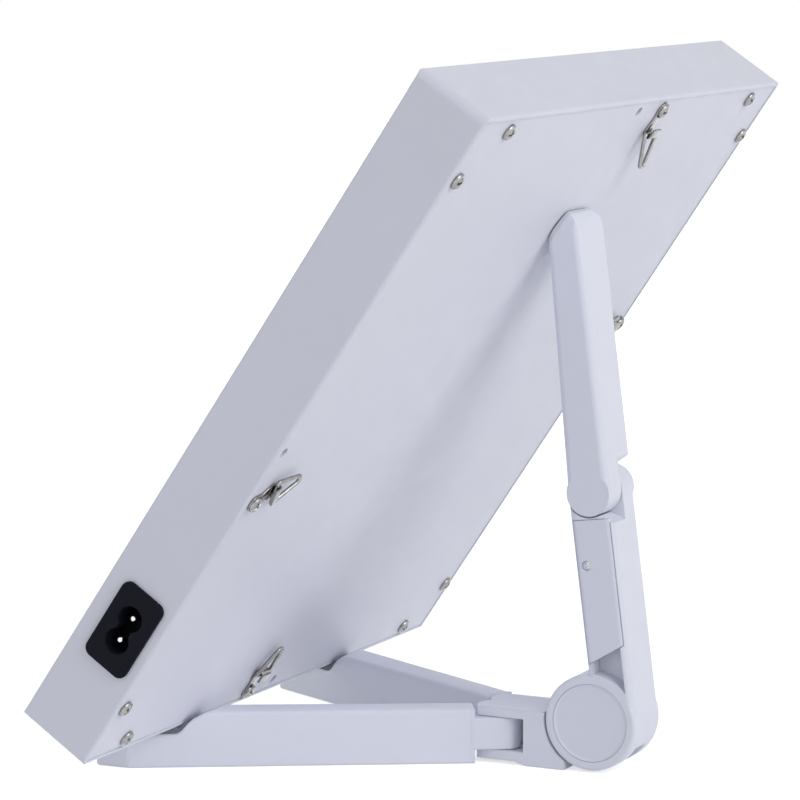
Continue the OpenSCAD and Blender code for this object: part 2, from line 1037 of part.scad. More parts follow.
module lower_arm() {
    color(white)
        on_arm()
            difference() {
                union() {
                    arm_bar(0, elbow_s);
                    elbow_eye(-arm_w / 2, -swing_gap / 2);
                    translate([-arm_w / 2, 0, 0])
                        rotate([0, 90, 0])
                            round_disc(knuckle_r, arm_w, knuckle_edge);
                }
                elbow_seat(-swing_gap / 2, arm_w, -1);
                arm_tongue_room();
                side_pocket();
                x_rod(axle_d, -arm_w, arm_w);
                for (x = [0, 1])
                    mirror([x, 0, 0]) {
                        x_rod(cap_seat_d, arm_w / 2 - cap_t, arm_w);
                        x_rod(bolt_head_d + 2 * gap, bolt_seat - bolt_head_h, arm_w);
                    }
                translate([0, elbow_b, elbow_s])
                    x_rod(elbow_pin_d, elbow_pin_end - arm_w / 2, arm_w);
                translate([0, cover_screw_b, cover_screw_s])
                    x_rod(cover_screw_d, cover_screw_floor - arm_w / 2, arm_w);
            }
}

// Room between the arm's cheeks for the base's tongue, open toward the front and below
module arm_tongue_room() {
    x_rod(2 * (tongue_r + swing_gap), -axle_cheek, axle_cheek);
    for (way = [-1, 1])
        rotate([way * tongue_swing, 0, 0])
            translate([-axle_cheek, -2 * knuckle_r, -2 * knuckle_r])
                cube([2 * axle_cheek, 2 * knuckle_r, 2 * knuckle_r]);
    translate([-axle_cheek, -2 * knuckle_r, -knuckle_r])
        cube([2 * axle_cheek, 2 * knuckle_r, tongue_room_h]);
}

// The side view of the lower arm's hollow, down to the knuckle's ring
module pocket_outline() {
    difference() {
        translate([arm_front + arm_wall, 0])
            square([arm_d - 2 * arm_wall, cover_high]);
        circle(knuckle_r + pocket_rim);
    }
}

// The side view of the cover, which leaves the foot of the hollow open
module cover_outline(slack) {
    front = arm_front + arm_wall / 2 - slack;
    back = knuckle_r - arm_wall / 2 + slack;
    top = cover_high + arm_wall / 2 + slack;
    polygon([
        [front, cover_low - slack],
        [back, cover_low + cover_rise - slack],
        [back, top],
        [front, top]]);
}

module side_pocket() {
    difference() {
        arm_side(arm_w / 2 - pocket_deep, arm_w)
            pocket_outline();
        translate([0, cover_screw_b, cover_screw_s])
            x_rod(cover_screw_d + 2 * cover_post_wall, -arm_w, arm_w / 2 - side_cover_t);
    }
    arm_side(arm_w / 2 - side_cover_t, arm_w)
        cover_outline(gap / 2);
}

module lower_arm_cover() {
    color(pale)
        on_arm()
            difference() {
                intersection() {
                    arm_side(arm_w / 2 - side_cover_t, arm_w / 2)
                        cover_outline(0);
                    arm_bar(0, elbow_s);
                }
                translate([0, cover_screw_b, cover_screw_s]) {
                    x_rod(cover_screw_d, 0, arm_w);
                    x_rod(cover_head_d, arm_w / 2 - cover_head_seat, arm_w);
                }
            }
}

module lower_arm_screw() {
    color(zinc)
        on_arm()
            translate([0, cover_screw_b, cover_screw_s]) {
                x_rod(cover_screw_d, cover_screw_tip - arm_w / 2, arm_w / 2 - cover_head_seat);
                x_rod(cover_head_d, arm_w / 2 - cover_head_seat, arm_w / 2 - cover_head_sink);
            }
}

module elbow_pin() {
    color(zinc)
        on_arm()
            translate([0, elbow_b, elbow_s])
                x_rod(elbow_pin_d, elbow_pin_end - arm_w / 2, arm_w / 2 - elbow_pin_end);
}

// The upper arm's bar, which tapers toward its tip at the front
module upper_bar() {
    taper = atan((arm_d - tip_d) / (tip_s - elbow_s));
    intersection() {
        arm_bar(elbow_s, tip_s);
        translate([0, arm_front, elbow_s])
            rotate([-taper, 0, 0])
                translate([0, -arm_front, -elbow_s])
                    arm_bar(elbow_s - bar_spare, tip_s + bar_spare);
        translate([0, arm_w, (elbow_s + tip_s) / 2])
            rotate([90, 0, 0])
                linear_extrude(2 * arm_w)
                    tip_outline();
        arm_side(-arm_w, arm_w)
            tip_side();
    }
}

// The arm's outline from behind, with round corners at the tip
module tip_outline() {
    length = tip_s - elbow_s;
    translate([0, -length / 2])
        round_rect(arm_w, 2 * length, tip_corner);
}

// The arm's outline from the side, rounded over the tip's back
module tip_side() {
    translate([knuckle_r - tip_back_r, tip_s - tip_back_r])
        circle(tip_back_r);
    translate([-arm_d, elbow_s - over])
        square([arm_d + knuckle_r, tip_s - tip_back_r - elbow_s + over]);
    translate([-arm_d, elbow_s])
        square([arm_d + knuckle_r - tip_back_r, tip_s - elbow_s]);
}

// Everything in front of a plane parallel to the panel's back and behind it by "away"
module before_back(away) {
    on_panel()
        translate([-half, -half, 0])
            cube([2 * half, half + away, 2 * half]);
}

module upper_arm() {
    color(white)
        difference() {
            on_arm()
                difference() {
                    union() {
                        upper_bar();
                        elbow_eye(swing_gap / 2, arm_w / 2);
                    }
                    elbow_seat(-arm_w, swing_gap / 2, 1);
                    translate([0, elbow_b, elbow_s])
                        x_rod(elbow_pin_d + 2 * run_gap, -arm_w, arm_w / 2 - elbow_pin_end + gap);
                }
            before_back(tip_pad_t + gap);
        }
}

module tip_pad() {
    color("lightgray")
        intersection() {
            difference() {
                on_arm()
                    upper_bar();
                before_back(gap);
            }
            before_back(tip_pad_t + gap);
        }
}

// The plan of a closed leg: pin at the origin, the other leg on its -X side
module leg_plan(slack) {
    outer = leg_w_tip - eye_r;
    polygon([
        [-eye_r + slack, -eye_r * 2],
        [eye_r - slack, -eye_r * 2],
        [outer - slack, -leg_len + eye_r * 2],
        [outer - eye_r - slack, -leg_len],
        [-eye_r + leg_corner + slack, -leg_len],
        [-eye_r + slack, -leg_len + leg_corner]]);
}

// The plan of the tongue by which a leg turns on its pin
module leg_eye() {
    circle(eye_r);
    translate([-eye_r, -eye_r * 2 - over])
        square([2 * eye_r, eye_r * 2 + over]);
}

// Places a closed leg's plan at its pin, turned open
module on_leg() {
    translate([leg_pin_x, 0, 0])
        rotate([0, 0, leg_open])
            children();
}

// Where the panel's back, moved back by "away", is at a height above the table
function back_line(z, away) =
    -panel_reach + away / cos(panel_lean) + (z - panel_lift) * tan(panel_lean);

// The side view of a leg: beam, tray and lip as (forward-negative, up) points
module leg_side(rise) {
    away = liner_t + gap - rise;
    floor_z = tray_z + rise / liner_t * liner_floor_t;
    step_z = leg_h - step_drop;
    lip_y = -panel_reach - tray_len;
    polygon([
        [leg_side_rear, 0],
        [leg_side_rear, leg_h],
        [back_line(leg_h, away) + step_run, leg_h],
        [back_line(step_z, away), step_z],
        [back_line(floor_z, away), floor_z],
        [lip_y + rise, floor_z],
        [lip_y - lip_slope, lip_z],
        [lip_y - leg_side_front, lip_z],
        [lip_y - leg_side_front, 0]]);
}

// A leg's side view carried across the stand
module leg_slice(rise) {
    translate([-half, 0, 0])
        rotate([90, 0, 90])
            linear_extrude(panel_size)
                leg_side(rise);
}

// The right leg; the left one is its mirror image
module one_leg() {
    difference() {
        union() {
            intersection() {
                on_leg()
                    linear_extrude(lip_z + over)
                        leg_plan(0);
                leg_slice(0);
            }
            on_leg()
                translate([0, 0, tine_low])
                    linear_extrude(tine_high - tine_low)
                        leg_eye();
        }
        on_leg()
            cylinder(d = leg_pin_d + 2 * run_gap, h = base_h);
        on_leg()
            base_clear();
    }
}

// Room for the base's plates over and under the tongue while the leg turns
module base_clear() {
    for (z = [tine_low - base_h, tine_high])
        translate([0, 0, z])
            cylinder(r = ear_r + 2 * swing_gap, h = base_h);
}

// The rubber liner on a leg's tray and on the step behind it
module one_liner() {
    intersection() {
        on_leg()
            linear_extrude(leg_h)
                leg_plan(liner_edge);
        difference() {
            leg_slice(liner_t);
            leg_slice(0);
        }
        translate([0, -panel_reach - tray_len, 0])
            cube([half, tray_len + liner_step_run, liner_top]);
    }
}

module right_leg() {
    color(white)
        one_leg();
}

module left_leg() {
    color(white)
        mirror([1, 0, 0])
            one_leg();
}

module right_tray_liner() {
    color("dimgray")
        one_liner();
}

module left_tray_liner() {
    color("dimgray")
        mirror([1, 0, 0])
            one_liner();
}

front_frame();
front_window();
board_spacer();
light_board();
red_emitters();
infrared_emitters();
board_screws();
back_plate();
cover_screws();
driver_board();
driver_transformer();
driver_capacitors();
driver_chips();
driver_screws();
inlet_housing();
inlet_pins();
mains_leads();
board_leads();
hanger_straps();
hanger_screws();
upper_ring();
lower_ring();
right_ring();
left_ring();
base_block();
leg_pins();
friction_washers();
axle_bolt();
axle_nut();
axle_caps();
lower_arm();
lower_arm_cover();
lower_arm_screw();
elbow_pin();
upper_arm();
tip_pad();
right_leg();
left_leg();
right_tray_liner();
left_tray_liner();
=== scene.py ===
"""Looks of a square light therapy panel that leans on a folding stand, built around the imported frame."""

import json
import math
from functools import partial

import bpy
import numpy as np
from bpy.props import FloatProperty, FloatVectorProperty, PointerProperty
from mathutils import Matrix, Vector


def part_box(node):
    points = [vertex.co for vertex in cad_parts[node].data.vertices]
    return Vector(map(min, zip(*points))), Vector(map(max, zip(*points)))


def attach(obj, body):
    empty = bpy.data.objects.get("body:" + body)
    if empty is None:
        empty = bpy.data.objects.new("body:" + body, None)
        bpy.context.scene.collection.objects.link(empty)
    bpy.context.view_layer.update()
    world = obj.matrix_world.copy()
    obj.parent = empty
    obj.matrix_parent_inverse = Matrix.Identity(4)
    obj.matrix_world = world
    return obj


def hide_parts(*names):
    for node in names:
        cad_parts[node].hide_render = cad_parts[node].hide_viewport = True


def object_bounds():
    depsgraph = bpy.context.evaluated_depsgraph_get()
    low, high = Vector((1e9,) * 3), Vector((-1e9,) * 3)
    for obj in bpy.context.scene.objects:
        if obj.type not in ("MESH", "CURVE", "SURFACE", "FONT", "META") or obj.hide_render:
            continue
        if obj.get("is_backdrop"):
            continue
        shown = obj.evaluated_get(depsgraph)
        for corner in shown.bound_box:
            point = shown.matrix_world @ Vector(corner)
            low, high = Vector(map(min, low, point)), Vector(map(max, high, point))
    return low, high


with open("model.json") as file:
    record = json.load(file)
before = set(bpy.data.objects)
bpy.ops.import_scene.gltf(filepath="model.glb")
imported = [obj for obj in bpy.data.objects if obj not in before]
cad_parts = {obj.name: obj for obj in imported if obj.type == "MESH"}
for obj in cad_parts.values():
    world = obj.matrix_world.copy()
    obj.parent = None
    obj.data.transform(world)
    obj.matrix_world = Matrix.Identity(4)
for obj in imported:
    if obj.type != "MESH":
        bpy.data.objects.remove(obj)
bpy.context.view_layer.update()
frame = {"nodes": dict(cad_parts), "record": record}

bl_info = {
    "name": "Light panel and folding stand",
    "version": (1, 0, 0),
    "blender": (4, 5, 0),
    "location": "View3D > Sidebar > Light Panel",
    "description": "Dresses a light therapy panel and its folding stand",
    "category": "Object",
}

MM = 0.001
RECORD = frame["record"]
JOINTS = {joint["name"]: joint for joint in RECORD["behaviour"]["joints"]}
MOUNTS = {mount["name"]: mount for mount in RECORD["mounts"]}
BODY_OF = {node: body for body, nodes in RECORD["behaviour"]["bodies"].items() for node in nodes}
SLOT_OF = {part["node"]: part["material_slot"] for part in RECORD["subparts"]}
COLOURS = {part["slot"]: part["base_color"][:3] for part in RECORD["materials"]}
X, Y, Z = np.eye(3)
SENSOR_MM = 36  # width of the camera's sensor
SHANK_D = 2.9 * MM  # shank of the cover screws and the hangers' screws


class Place:
    """A local frame: an origin and three unit axes, given in the row frame."""

    def __init__(self, origin, across, out, up):
        self.origin = np.array(origin, float)
        self.axes = np.array([across, out, up], float)

    def put(self, points):
        """Local points, in metres, as points of the row frame."""
        return self.origin + np.asarray(points, float) @ self.axes

    def moved(self, x=0.0, y=0.0, z=0.0):
        """The same axes at an origin moved along them."""
        return Place(self.put([x, y, z]), *self.axes)


def panel_place():
    """The panel's frame: its origin at the middle of the back plate's face, its second axis out of
    the back."""
    mount = MOUNTS["spare_holes"]
    out = np.array(mount["axis"], float)
    return Place(mount["pos_m"], X, out, np.cross(X, out))


def hanger_place(side):
    """A hanger's frame: its origin on the ring's hinge, its third axis toward the panel's edge."""
    joint = JOINTS[side + "_ring_swing"]
    axis = np.array(joint["axis"], float)
    out = PANEL.axes[1]
    return Place(joint["pos_m"], axis, out, np.cross(axis, out))


PANEL = panel_place()
HANGERS = {side: hanger_place(side) for side in ("upper", "lower", "right", "left")}
AXLE = np.array(JOINTS["arm_tilt"]["pos_m"], float)
ELBOW = np.array(JOINTS["elbow_bend"]["pos_m"], float)
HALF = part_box("front_frame")[1].x


class PanelSizes(bpy.types.PropertyGroup):
    """Sizes of the panel's small forms."""

    screw_head_d: FloatProperty(
        name="Screw head", description="Diameter of a cover screw's head",
        default=5.6 * MM, min=4 * MM, max=8 * MM, unit="LENGTH")
    screw_head_h: FloatProperty(
        name="Screw head height", description="Height of a cover screw's head",
        default=1.7 * MM, min=1 * MM, max=3 * MM, unit="LENGTH")
    screw_edge: FloatProperty(
        name="Screw from edge", description="Distance of a cover screw from the panel's edge",
        default=6 * MM, min=4 * MM, max=9 * MM, unit="LENGTH")
    screw_corner: FloatProperty(
        name="Screw from corner", description="Distance of a cover screw from the corner along its edge",
        default=22.6 * MM, min=15 * MM, max=40 * MM, unit="LENGTH")
    recess_depth: FloatProperty(
        name="Recess depth", description="Depth of the cross recess in a cover screw's head",
        default=1.1 * MM, min=0.4 * MM, max=1.5 * MM, unit="LENGTH")
    recess_w: FloatProperty(
        name="Recess width", description="Width of one bar of the cross recess",
        default=0.8 * MM, min=0.4 * MM, max=1.5 * MM, unit="LENGTH")
    strap_t: FloatProperty(
        name="Strap thickness", description="Thickness of a hanger's sheet metal",
        default=0.8 * MM, min=0.5 * MM, max=1.2 * MM, unit="LENGTH")
    strap_w: FloatProperty(
        name="Strap width", description="Width of a hanger's strap at its loop",
        default=7 * MM, min=5 * MM, max=7.2 * MM, unit="LENGTH")
    strap_neck: FloatProperty(
        name="Strap neck", description="Width of a hanger's strap beside its screw",
        default=4.2 * MM, min=3.5 * MM, max=6 * MM, unit="LENGTH")
    strap_end_r: FloatProperty(
        name="Strap end", description="Radius of the round end of a hanger's strap, around its screw",
        default=3 * MM, min=2.5 * MM, max=4 * MM, unit="LENGTH")
    strap_tail: FloatProperty(
        name="Strap tail", description="Length of the strap's short way back, past its loop",
        default=2.4 * MM, min=1.5 * MM, max=4 * MM, unit="LENGTH")
    strap_screw: FloatProperty(
        name="Strap screw", description="Distance from a ring's hinge to the hanger's screw",
        default=8.6 * MM, min=7 * MM, max=12 * MM, unit="LENGTH")
    strap_screw_h: FloatProperty(
        name="Strap screw height", description="Height of the head of a hanger's screw",
        default=1.4 * MM, min=1 * MM, max=2 * MM, unit="LENGTH")
    loop_d: FloatProperty(
        name="Strap loop", description="Inner diameter of the loop of a hanger's strap around its ring",
        default=1.72 * MM, min=1.2 * MM, max=2.2 * MM, unit="LENGTH")
    wire_d: FloatProperty(
        name="Ring wire", description="Diameter of a hanger ring's wire",
        default=1.4 * MM, min=1 * MM, max=2 * MM, unit="LENGTH")
    ring_w: FloatProperty(
        name="Ring width", description="Width of a hanger ring at its hinge",
        default=10 * MM, min=8 * MM, max=14 * MM, unit="LENGTH")
    ring_len: FloatProperty(
        name="Ring length", description="Length of a hanger ring from hinge to tip",
        default=11.5 * MM, min=8 * MM, max=16 * MM, unit="LENGTH")


class InletSizes(bpy.types.PropertyGroup):
    """Sizes of the mains inlet."""

    flange_l: FloatProperty(
        name="Flange length", description="Length of the inlet's flange up the panel",
        default=29 * MM, min=24 * MM, max=34 * MM, unit="LENGTH")
    flange_w: FloatProperty(
        name="Flange width", description="Width of the inlet's flange across the panel",
        default=16.6 * MM, min=14 * MM, max=20 * MM, unit="LENGTH")
    flange_t: FloatProperty(
        name="Flange thickness", description="Thickness of the inlet's flange",
        default=1.4 * MM, min=1 * MM, max=3 * MM, unit="LENGTH")
    flange_r: FloatProperty(
        name="Flange corner", description="Radius of the flange's corners",
        default=3 * MM, min=1 * MM, max=5 * MM, unit="LENGTH")
    pin_pitch: FloatProperty(
        name="Pin pitch", description="Spacing of the two contact pins",
        default=8.6 * MM, min=8 * MM, max=9 * MM, unit="LENGTH")
    lobe_d: FloatProperty(
        name="Lobe", description="Diameter of each lobe of the figure-eight socket",
        default=8.4 * MM, min=7.5 * MM, max=9 * MM, unit="LENGTH")
    waist_w: FloatProperty(
        name="Waist", description="Width of the socket's waist",
        default=5 * MM, min=4 * MM, max=6.5 * MM, unit="LENGTH")
    socket_depth: FloatProperty(
        name="Socket depth", description="Depth of the socket",
        default=11 * MM, min=8 * MM, max=12 * MM, unit="LENGTH")


class StandSizes(bpy.types.PropertyGroup):
    """Sizes of the legs and of the arm's small pieces."""

    leg_len: FloatProperty(
        name="Leg length", description="Length of a leg from its pin to its tip",
        default=136 * MM, min=120 * MM, max=150 * MM, unit="LENGTH")
    leg_h: FloatProperty(
        name="Leg height", description="Height of a leg's beam",
        default=18.5 * MM, min=16 * MM, max=21 * MM, unit="LENGTH")
    leg_w_base: FloatProperty(
        name="Leg width", description="Width of a leg next to the base",
        default=10.6 * MM, min=9 * MM, max=12 * MM, unit="LENGTH")
    leg_w_tip: FloatProperty(
        name="Leg tip width", description="Width of a leg at its tip",
        default=13.6 * MM, min=11 * MM, max=18 * MM, unit="LENGTH")
    leg_corner: FloatProperty(
        name="Leg tip corner", description="Cut across the inner corner of a leg's tip",
        default=3 * MM, min=1 * MM, max=5 * MM, unit="LENGTH")
    leg_round: FloatProperty(
        name="Leg rounding", description="Rounding along a leg's upper edges",
        default=1.6 * MM, min=0.5 * MM, max=3 * MM, unit="LENGTH")
    leg_round_low: FloatProperty(
        name="Leg lower rounding", description="Rounding along a leg's lower edges",
        default=0.7 * MM, min=0.3 * MM, max=2 * MM, unit="LENGTH")
    step_len: FloatProperty(
        name="Step length", description="Length of the slope from a leg's top down to its step",
        default=5 * MM, min=3 * MM, max=8 * MM, unit="LENGTH")
    step_drop: FloatProperty(
        name="Step drop", description="Height that the step loses before the tray",
        default=3 * MM, min=1 * MM, max=5 * MM, unit="LENGTH")
    tray_rise: FloatProperty(
        name="Tray rise", description="Length of the slope from the step down to the tray's floor",
        default=2.9 * MM, min=1 * MM, max=5 * MM, unit="LENGTH")
    tray_z: FloatProperty(
        name="Tray height", description="Height of a leg's tray floor",
        default=11.2 * MM, min=9 * MM, max=13 * MM, unit="LENGTH")
    tray_y: FloatProperty(
        name="Tray place", description="Distance from the leg pins forward to the panel's lowest edge",
        default=93 * MM, min=85 * MM, max=100 * MM, unit="LENGTH")
    tray_len: FloatProperty(
        name="Tray length", description="Length of a leg's tray",
        default=14 * MM, min=10 * MM, max=18 * MM, unit="LENGTH")
    lip_z: FloatProperty(
        name="Lip height", description="Height of the lip in front of a tray",
        default=21.2 * MM, min=18 * MM, max=24 * MM, unit="LENGTH")
    lip_slope: FloatProperty(
        name="Lip slope", description="Length of the slope from a tray's floor up to its lip",
        default=1 * MM, min=0.5 * MM, max=3 * MM, unit="LENGTH")
    tongue_low: FloatProperty(
        name="Tongue underside", description="Height of the underside of the tongue by which a leg turns",
        default=4.6 * MM, min=3 * MM, max=6 * MM, unit="LENGTH")
    tongue_high: FloatProperty(
        name="Tongue top", description="Height of the top of the tongue by which a leg turns",
        default=15.4 * MM, min=12 * MM, max=18 * MM, unit="LENGTH")
    arm_w: FloatProperty(
        name="Arm width", description="Width of the arm",
        default=22 * MM, min=18 * MM, max=26 * MM, unit="LENGTH")
    elbow_b: FloatProperty(
        name="Elbow back", description="Distance of the elbow behind the axle's line",
        default=8.55 * MM, min=5 * MM, max=12 * MM, unit="LENGTH")
    elbow_s: FloatProperty(
        name="Elbow height", description="Distance from the axle up to the elbow",
        default=75.5 * MM, min=60 * MM, max=90 * MM, unit="LENGTH")
    side_screw_b: FloatProperty(
        name="Side screw back", description="Distance of the side cover's screw behind the axle's line",
        default=5.2 * MM, min=3 * MM, max=10 * MM, unit="LENGTH")
    side_screw_s: FloatProperty(
        name="Side screw height", description="Distance from the axle up to the side cover's screw",
        default=52 * MM, min=40 * MM, max=60 * MM, unit="LENGTH")
    cap_d: FloatProperty(
        name="Cap", description="Diameter of the two round caps at the axle",
        default=26.04 * MM, min=20 * MM, max=30 * MM, unit="LENGTH")
    cap_t: FloatProperty(
        name="Cap thickness", description="Thickness of the two round caps",
        default=1.8 * MM, min=1 * MM, max=3 * MM, unit="LENGTH")
    cap_lip_w: FloatProperty(
        name="Cap lip", description="Width of the lip around a cap's dish",
        default=1.3 * MM, min=0.5 * MM, max=3 * MM, unit="LENGTH")
    cap_dish: FloatProperty(
        name="Cap dish", description="Depth of the dish in a cap's face",
        default=0.5 * MM, min=0.1 * MM, max=1 * MM, unit="LENGTH")


class PanelColours(bpy.types.PropertyGroup):
    """Colours of the finishes that show most."""

    frame_white: FloatVectorProperty(
        name="Frame", description="Colour of the moulded frame",
        default=COLOURS["frame_white"], min=0, max=1, subtype="COLOR")
    back_white: FloatVectorProperty(
        name="Back plate", description="Colour of the back plate",
        default=COLOURS["back_white"], min=0, max=1, subtype="COLOR")
    stand_white: FloatVectorProperty(
        name="Stand", description="Colour of the stand's moulded pieces",
        default=COLOURS["stand_white"], min=0, max=1, subtype="COLOR")
    cap_grey: FloatVectorProperty(
        name="Caps", description="Colour of the axle caps and of the lower arm's cover",
        default=COLOURS["cap_grey"], min=0, max=1, subtype="COLOR")
    zinc: FloatVectorProperty(
        name="Metal", description="Colour of the plated screws, straps and rings",
        default=COLOURS["zinc"], min=0, max=1, subtype="COLOR")
    side_screw: FloatVectorProperty(
        name="Side screw", description="Paler plating of the screw in the arm's side cover",
        default=(0.66, 0.67, 0.71), min=0, max=1, subtype="COLOR")
    inlet_black: FloatVectorProperty(
        name="Inlet", description="Colour of the mains inlet",
        default=COLOURS["inlet_black"], min=0, max=1, subtype="COLOR")
    emitter_red: FloatVectorProperty(
        name="Red emitters", description="Colour of the red emitters' lenses",
        default=COLOURS["emitter_red"], min=0, max=1, subtype="COLOR")


class StageSizes(bpy.types.PropertyGroup):
    """The camera and the floor."""

    camera_at: FloatVectorProperty(
        name="Camera", description="Place of the camera",
        default=(1.1066, 0.4899, 0.2833), subtype="XYZ", unit="LENGTH")
    camera_azimuth: FloatProperty(
        name="Azimuth", description="Heading of the camera, from +Y toward -X",
        default=math.radians(115.66), subtype="ANGLE")
    camera_drop: FloatProperty(
        name="Drop", description="How far the camera looks down",
        default=math.radians(7.67), subtype="ANGLE")
    lens: FloatProperty(
        name="Lens", description="Focal length of the camera, in millimetres",
        default=166.1, min=20)
    floor_size: FloatProperty(
        name="Floor", description="Side of the floor",
        default=8.0, min=1.0, unit="LENGTH")


def around(steps):
    """Angles of a full turn in equal steps."""
    return np.linspace(0, 2 * math.pi, steps, endpoint=False)


def sections(width, height, high_r, low_r, steps=6, most_share=0.45):
    """Rectangles with round corners, one per station, centred on the origin: each corner's arc is its
    centre plus the radius times the direction, over a quarter turn. The upper and lower corners differ in
    radius, and no radius is more than a share of the shorter side."""
    width, height = (np.asarray(size, float)[:, None] for size in (width, height))
    turn = np.linspace(0, math.pi / 2, steps)
    corners = ((1, 1, high_r), (-1, 1, high_r), (-1, -1, low_r), (1, -1, low_r))
    loops = []
    for quarter, (sx, sy, most) in enumerate(corners):
        radius = np.minimum(most, most_share * np.minimum(width, height))
        angle = turn + quarter * math.pi / 2
        loops.append(np.stack([
            sx * (width / 2 - radius) + radius * np.cos(angle),
            sy * (height / 2 - radius) + radius * np.sin(angle)], -1))
    return np.concatenate(loops, 1)


def softened(at, knots, values, reach, samples=13):
    """A broken line's value at many places, with its corners softened: its mean over a short reach."""
    shifts = np.linspace(-reach, reach, samples)
    return np.interp(at[:, None] + shifts, knots, values).mean(1)


def loft(rows, ring=False):
    """A skin over closed rows of points: each point joins its neighbours in its own row and the next one.
    A ring joins the last row to the first; otherwise a fan to the row's middle closes either end."""
    rows = np.asarray(rows, float)
    count, wide = rows.shape[:2]
    i = np.arange(count if ring else count - 1)[:, None]
    j = np.arange(wide)[None, :]
    here = i * wide
    there = ((i + 1) % count) * wide
    after = (j + 1) % wide
    quads = np.stack([here + j, here + after, there + after, there + j], -1).reshape(-1, 4)
    points = rows.reshape(-1, 3)
    if ring:
        return points, quads, np.zeros((0, 3), int)
    j = j[0]
    after = after[0]
    last = (count - 1) * wide
    first_pole = np.full(wide, count * wide)
    last_pole = first_pole + 1
    fans = np.concatenate([
        np.column_stack([first_pole, after, j]),
        np.column_stack([last_pole, last + j, last + after])])
    points = np.concatenate([points, rows[[0, -1]].mean(1)])
    return points, quads, fans


def turned(place, profile, steps=96):
    """A turned form: a profile of (radius, height) points carried around the place's second axis."""
    angle = around(steps)
    radius = profile[:, 0][:, None]
    height = np.broadcast_to(profile[:, 1][:, None], (len(profile), steps))
    rows = np.stack([radius * np.cos(angle), height, radius * np.sin(angle)], -1)
    return loft(place.put(rows))


def turned_out(skin):
    """A closed skin with its faces outward: the sum of its corner tetrahedra, its volume, is positive."""
    points, quads, fans = skin
    halves = np.concatenate([quads[:, [0, 1, 2]], quads[:, [0, 2, 3]], fans])
    a, b, c = (points[halves[:, k]] for k in range(3))
    if np.einsum("ij,ij->", a, np.cross(b, c)) < 0:
        return points, quads[:, ::-1], fans[:, ::-1]
    return skin


def add_piece(name, skins, node, sharp=35.0):
    """One object from closed skins, crisp where faces meet at more than so many degrees. It stands for a
    CAD node, rides on its body and takes its slot."""
    points, faces, start = [], [], 0
    for skin in skins:
        at, quads, fans = turned_out(skin)
        points.append(at)
        faces += (quads + start).tolist()
        faces += (fans + start).tolist()
        start += len(at)
    mesh = bpy.data.meshes.new(name)
    mesh.from_pydata(np.concatenate(points).tolist(), [], faces)
    mesh.validate()
    mesh.shade_smooth()
    mesh.set_sharp_from_angle(angle=math.radians(sharp))
    piece = bpy.data.objects.new(name, mesh)
    bpy.context.scene.collection.objects.link(piece)
    piece.data.materials.append(finish(SLOT_OF[node]))
    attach(piece, BODY_OF[node])
    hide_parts(node)
    return piece


class Finish:
    """A material with one shader, and short calls that add nodes to it."""

    def __init__(self, name):
        self.material = bpy.data.materials.new(name)
        self.material.use_nodes = True
        self.tree = self.material.node_tree
        self.shader = self.tree.nodes["Principled BSDF"]
        self.coords = self.tree.nodes.new("ShaderNodeTexCoord").outputs["Object"]
        self.normal = None

    def add(self, kind, **values):
        """A node of one kind, with values set on its named sockets."""
        made = self.tree.nodes.new("ShaderNode" + kind)
        for socket, value in values.items():
            made.inputs[socket.replace("_", " ")].default_value = value
        return made

    def link(self, source, target):
        """One socket's value carried to another."""
        self.tree.links.new(source, target)

    def set(self, **values):
        """Constant values on the shader's own sockets."""
        for socket, value in values.items():
            self.shader.inputs[socket.replace("_", " ")].default_value = value

    def noise(self, scale, detail=2.0, stretch=(1, 1, 1)):
        """Noise in the piece's own space, in features per metre, stretched along its axes."""
        spread = self.add("Mapping", Scale=stretch)
        self.link(self.coords, spread.inputs["Vector"])
        made = self.add("TexNoise", Scale=scale, Detail=detail)
        self.link(spread.outputs["Vector"], made.inputs["Vector"])
        return made.outputs["Fac"]

    def carried(self, source, low, high, from_low=0.3, from_high=0.7):
        """A pattern's value carried from one range to another; most noise lies within the first."""
        made = self.add("MapRange", From_Min=from_low, From_Max=from_high, To_Min=low, To_Max=high)
        self.link(source, made.inputs["Value"])
        return made.outputs["Result"]

    def blend(self, source, low, high):
        """A colour between two, by a pattern's value from 0 to 1."""
        made = self.add("Mix")
        made.data_type = "RGBA"
        made.inputs["A"].default_value = (*low, 1)
        made.inputs["B"].default_value = (*high, 1)
        self.link(source, made.inputs["Factor"])
        return made.outputs["Result"]

    def tint(self, source, colour, spread):
        """The shader's colour, which a pattern makes darker and lighter by a small share."""
        low = [c * (1 - spread) for c in colour]
        high = [min(c * (1 + spread), 1) for c in colour]
        self.link(self.blend(self.carried(source, 0, 1), low, high), self.shader.inputs["Base Color"])

    def rough(self, source, low, high):
        """The shader's roughness, between two values by a pattern."""
        self.link(self.carried(source, low, high), self.shader.inputs["Roughness"])

    def soften(self, radius):
        """Edges that catch the light as if they were rounded by a small radius."""
        self.normal = self.add("Bevel", Radius=radius).outputs["Normal"]

    def bump(self, source, depth):
        """A pattern as relief of the given depth, on top of the relief so far."""
        made = self.add("Bump", Strength=1.0, Distance=depth)
        self.link(source, made.inputs["Height"])
        if self.normal:
            self.link(self.normal, made.inputs["Normal"])
        self.normal = made.outputs["Normal"]
        self.link(self.normal, self.shader.inputs["Normal"])


def moulded(name, colour, low=0.36, high=0.5, grain=0.02 * MM, shine=0.5):
    """Moulded plastic: softened edges, a faint drift of tone, an uneven gloss, a fine spark-eroded grain
    and a slight wave. The gloss runs between a low and a high roughness."""
    made = Finish(name)
    made.set(Specular_IOR_Level=shine)
    made.soften(radius=0.5 * MM)
    made.tint(made.noise(14, detail=3), colour, spread=0.012)
    made.rough(made.noise(160, detail=3), low, high)
    made.bump(made.noise(2600), depth=grain)
    made.bump(made.noise(35, detail=1), depth=3 * grain)
    return made


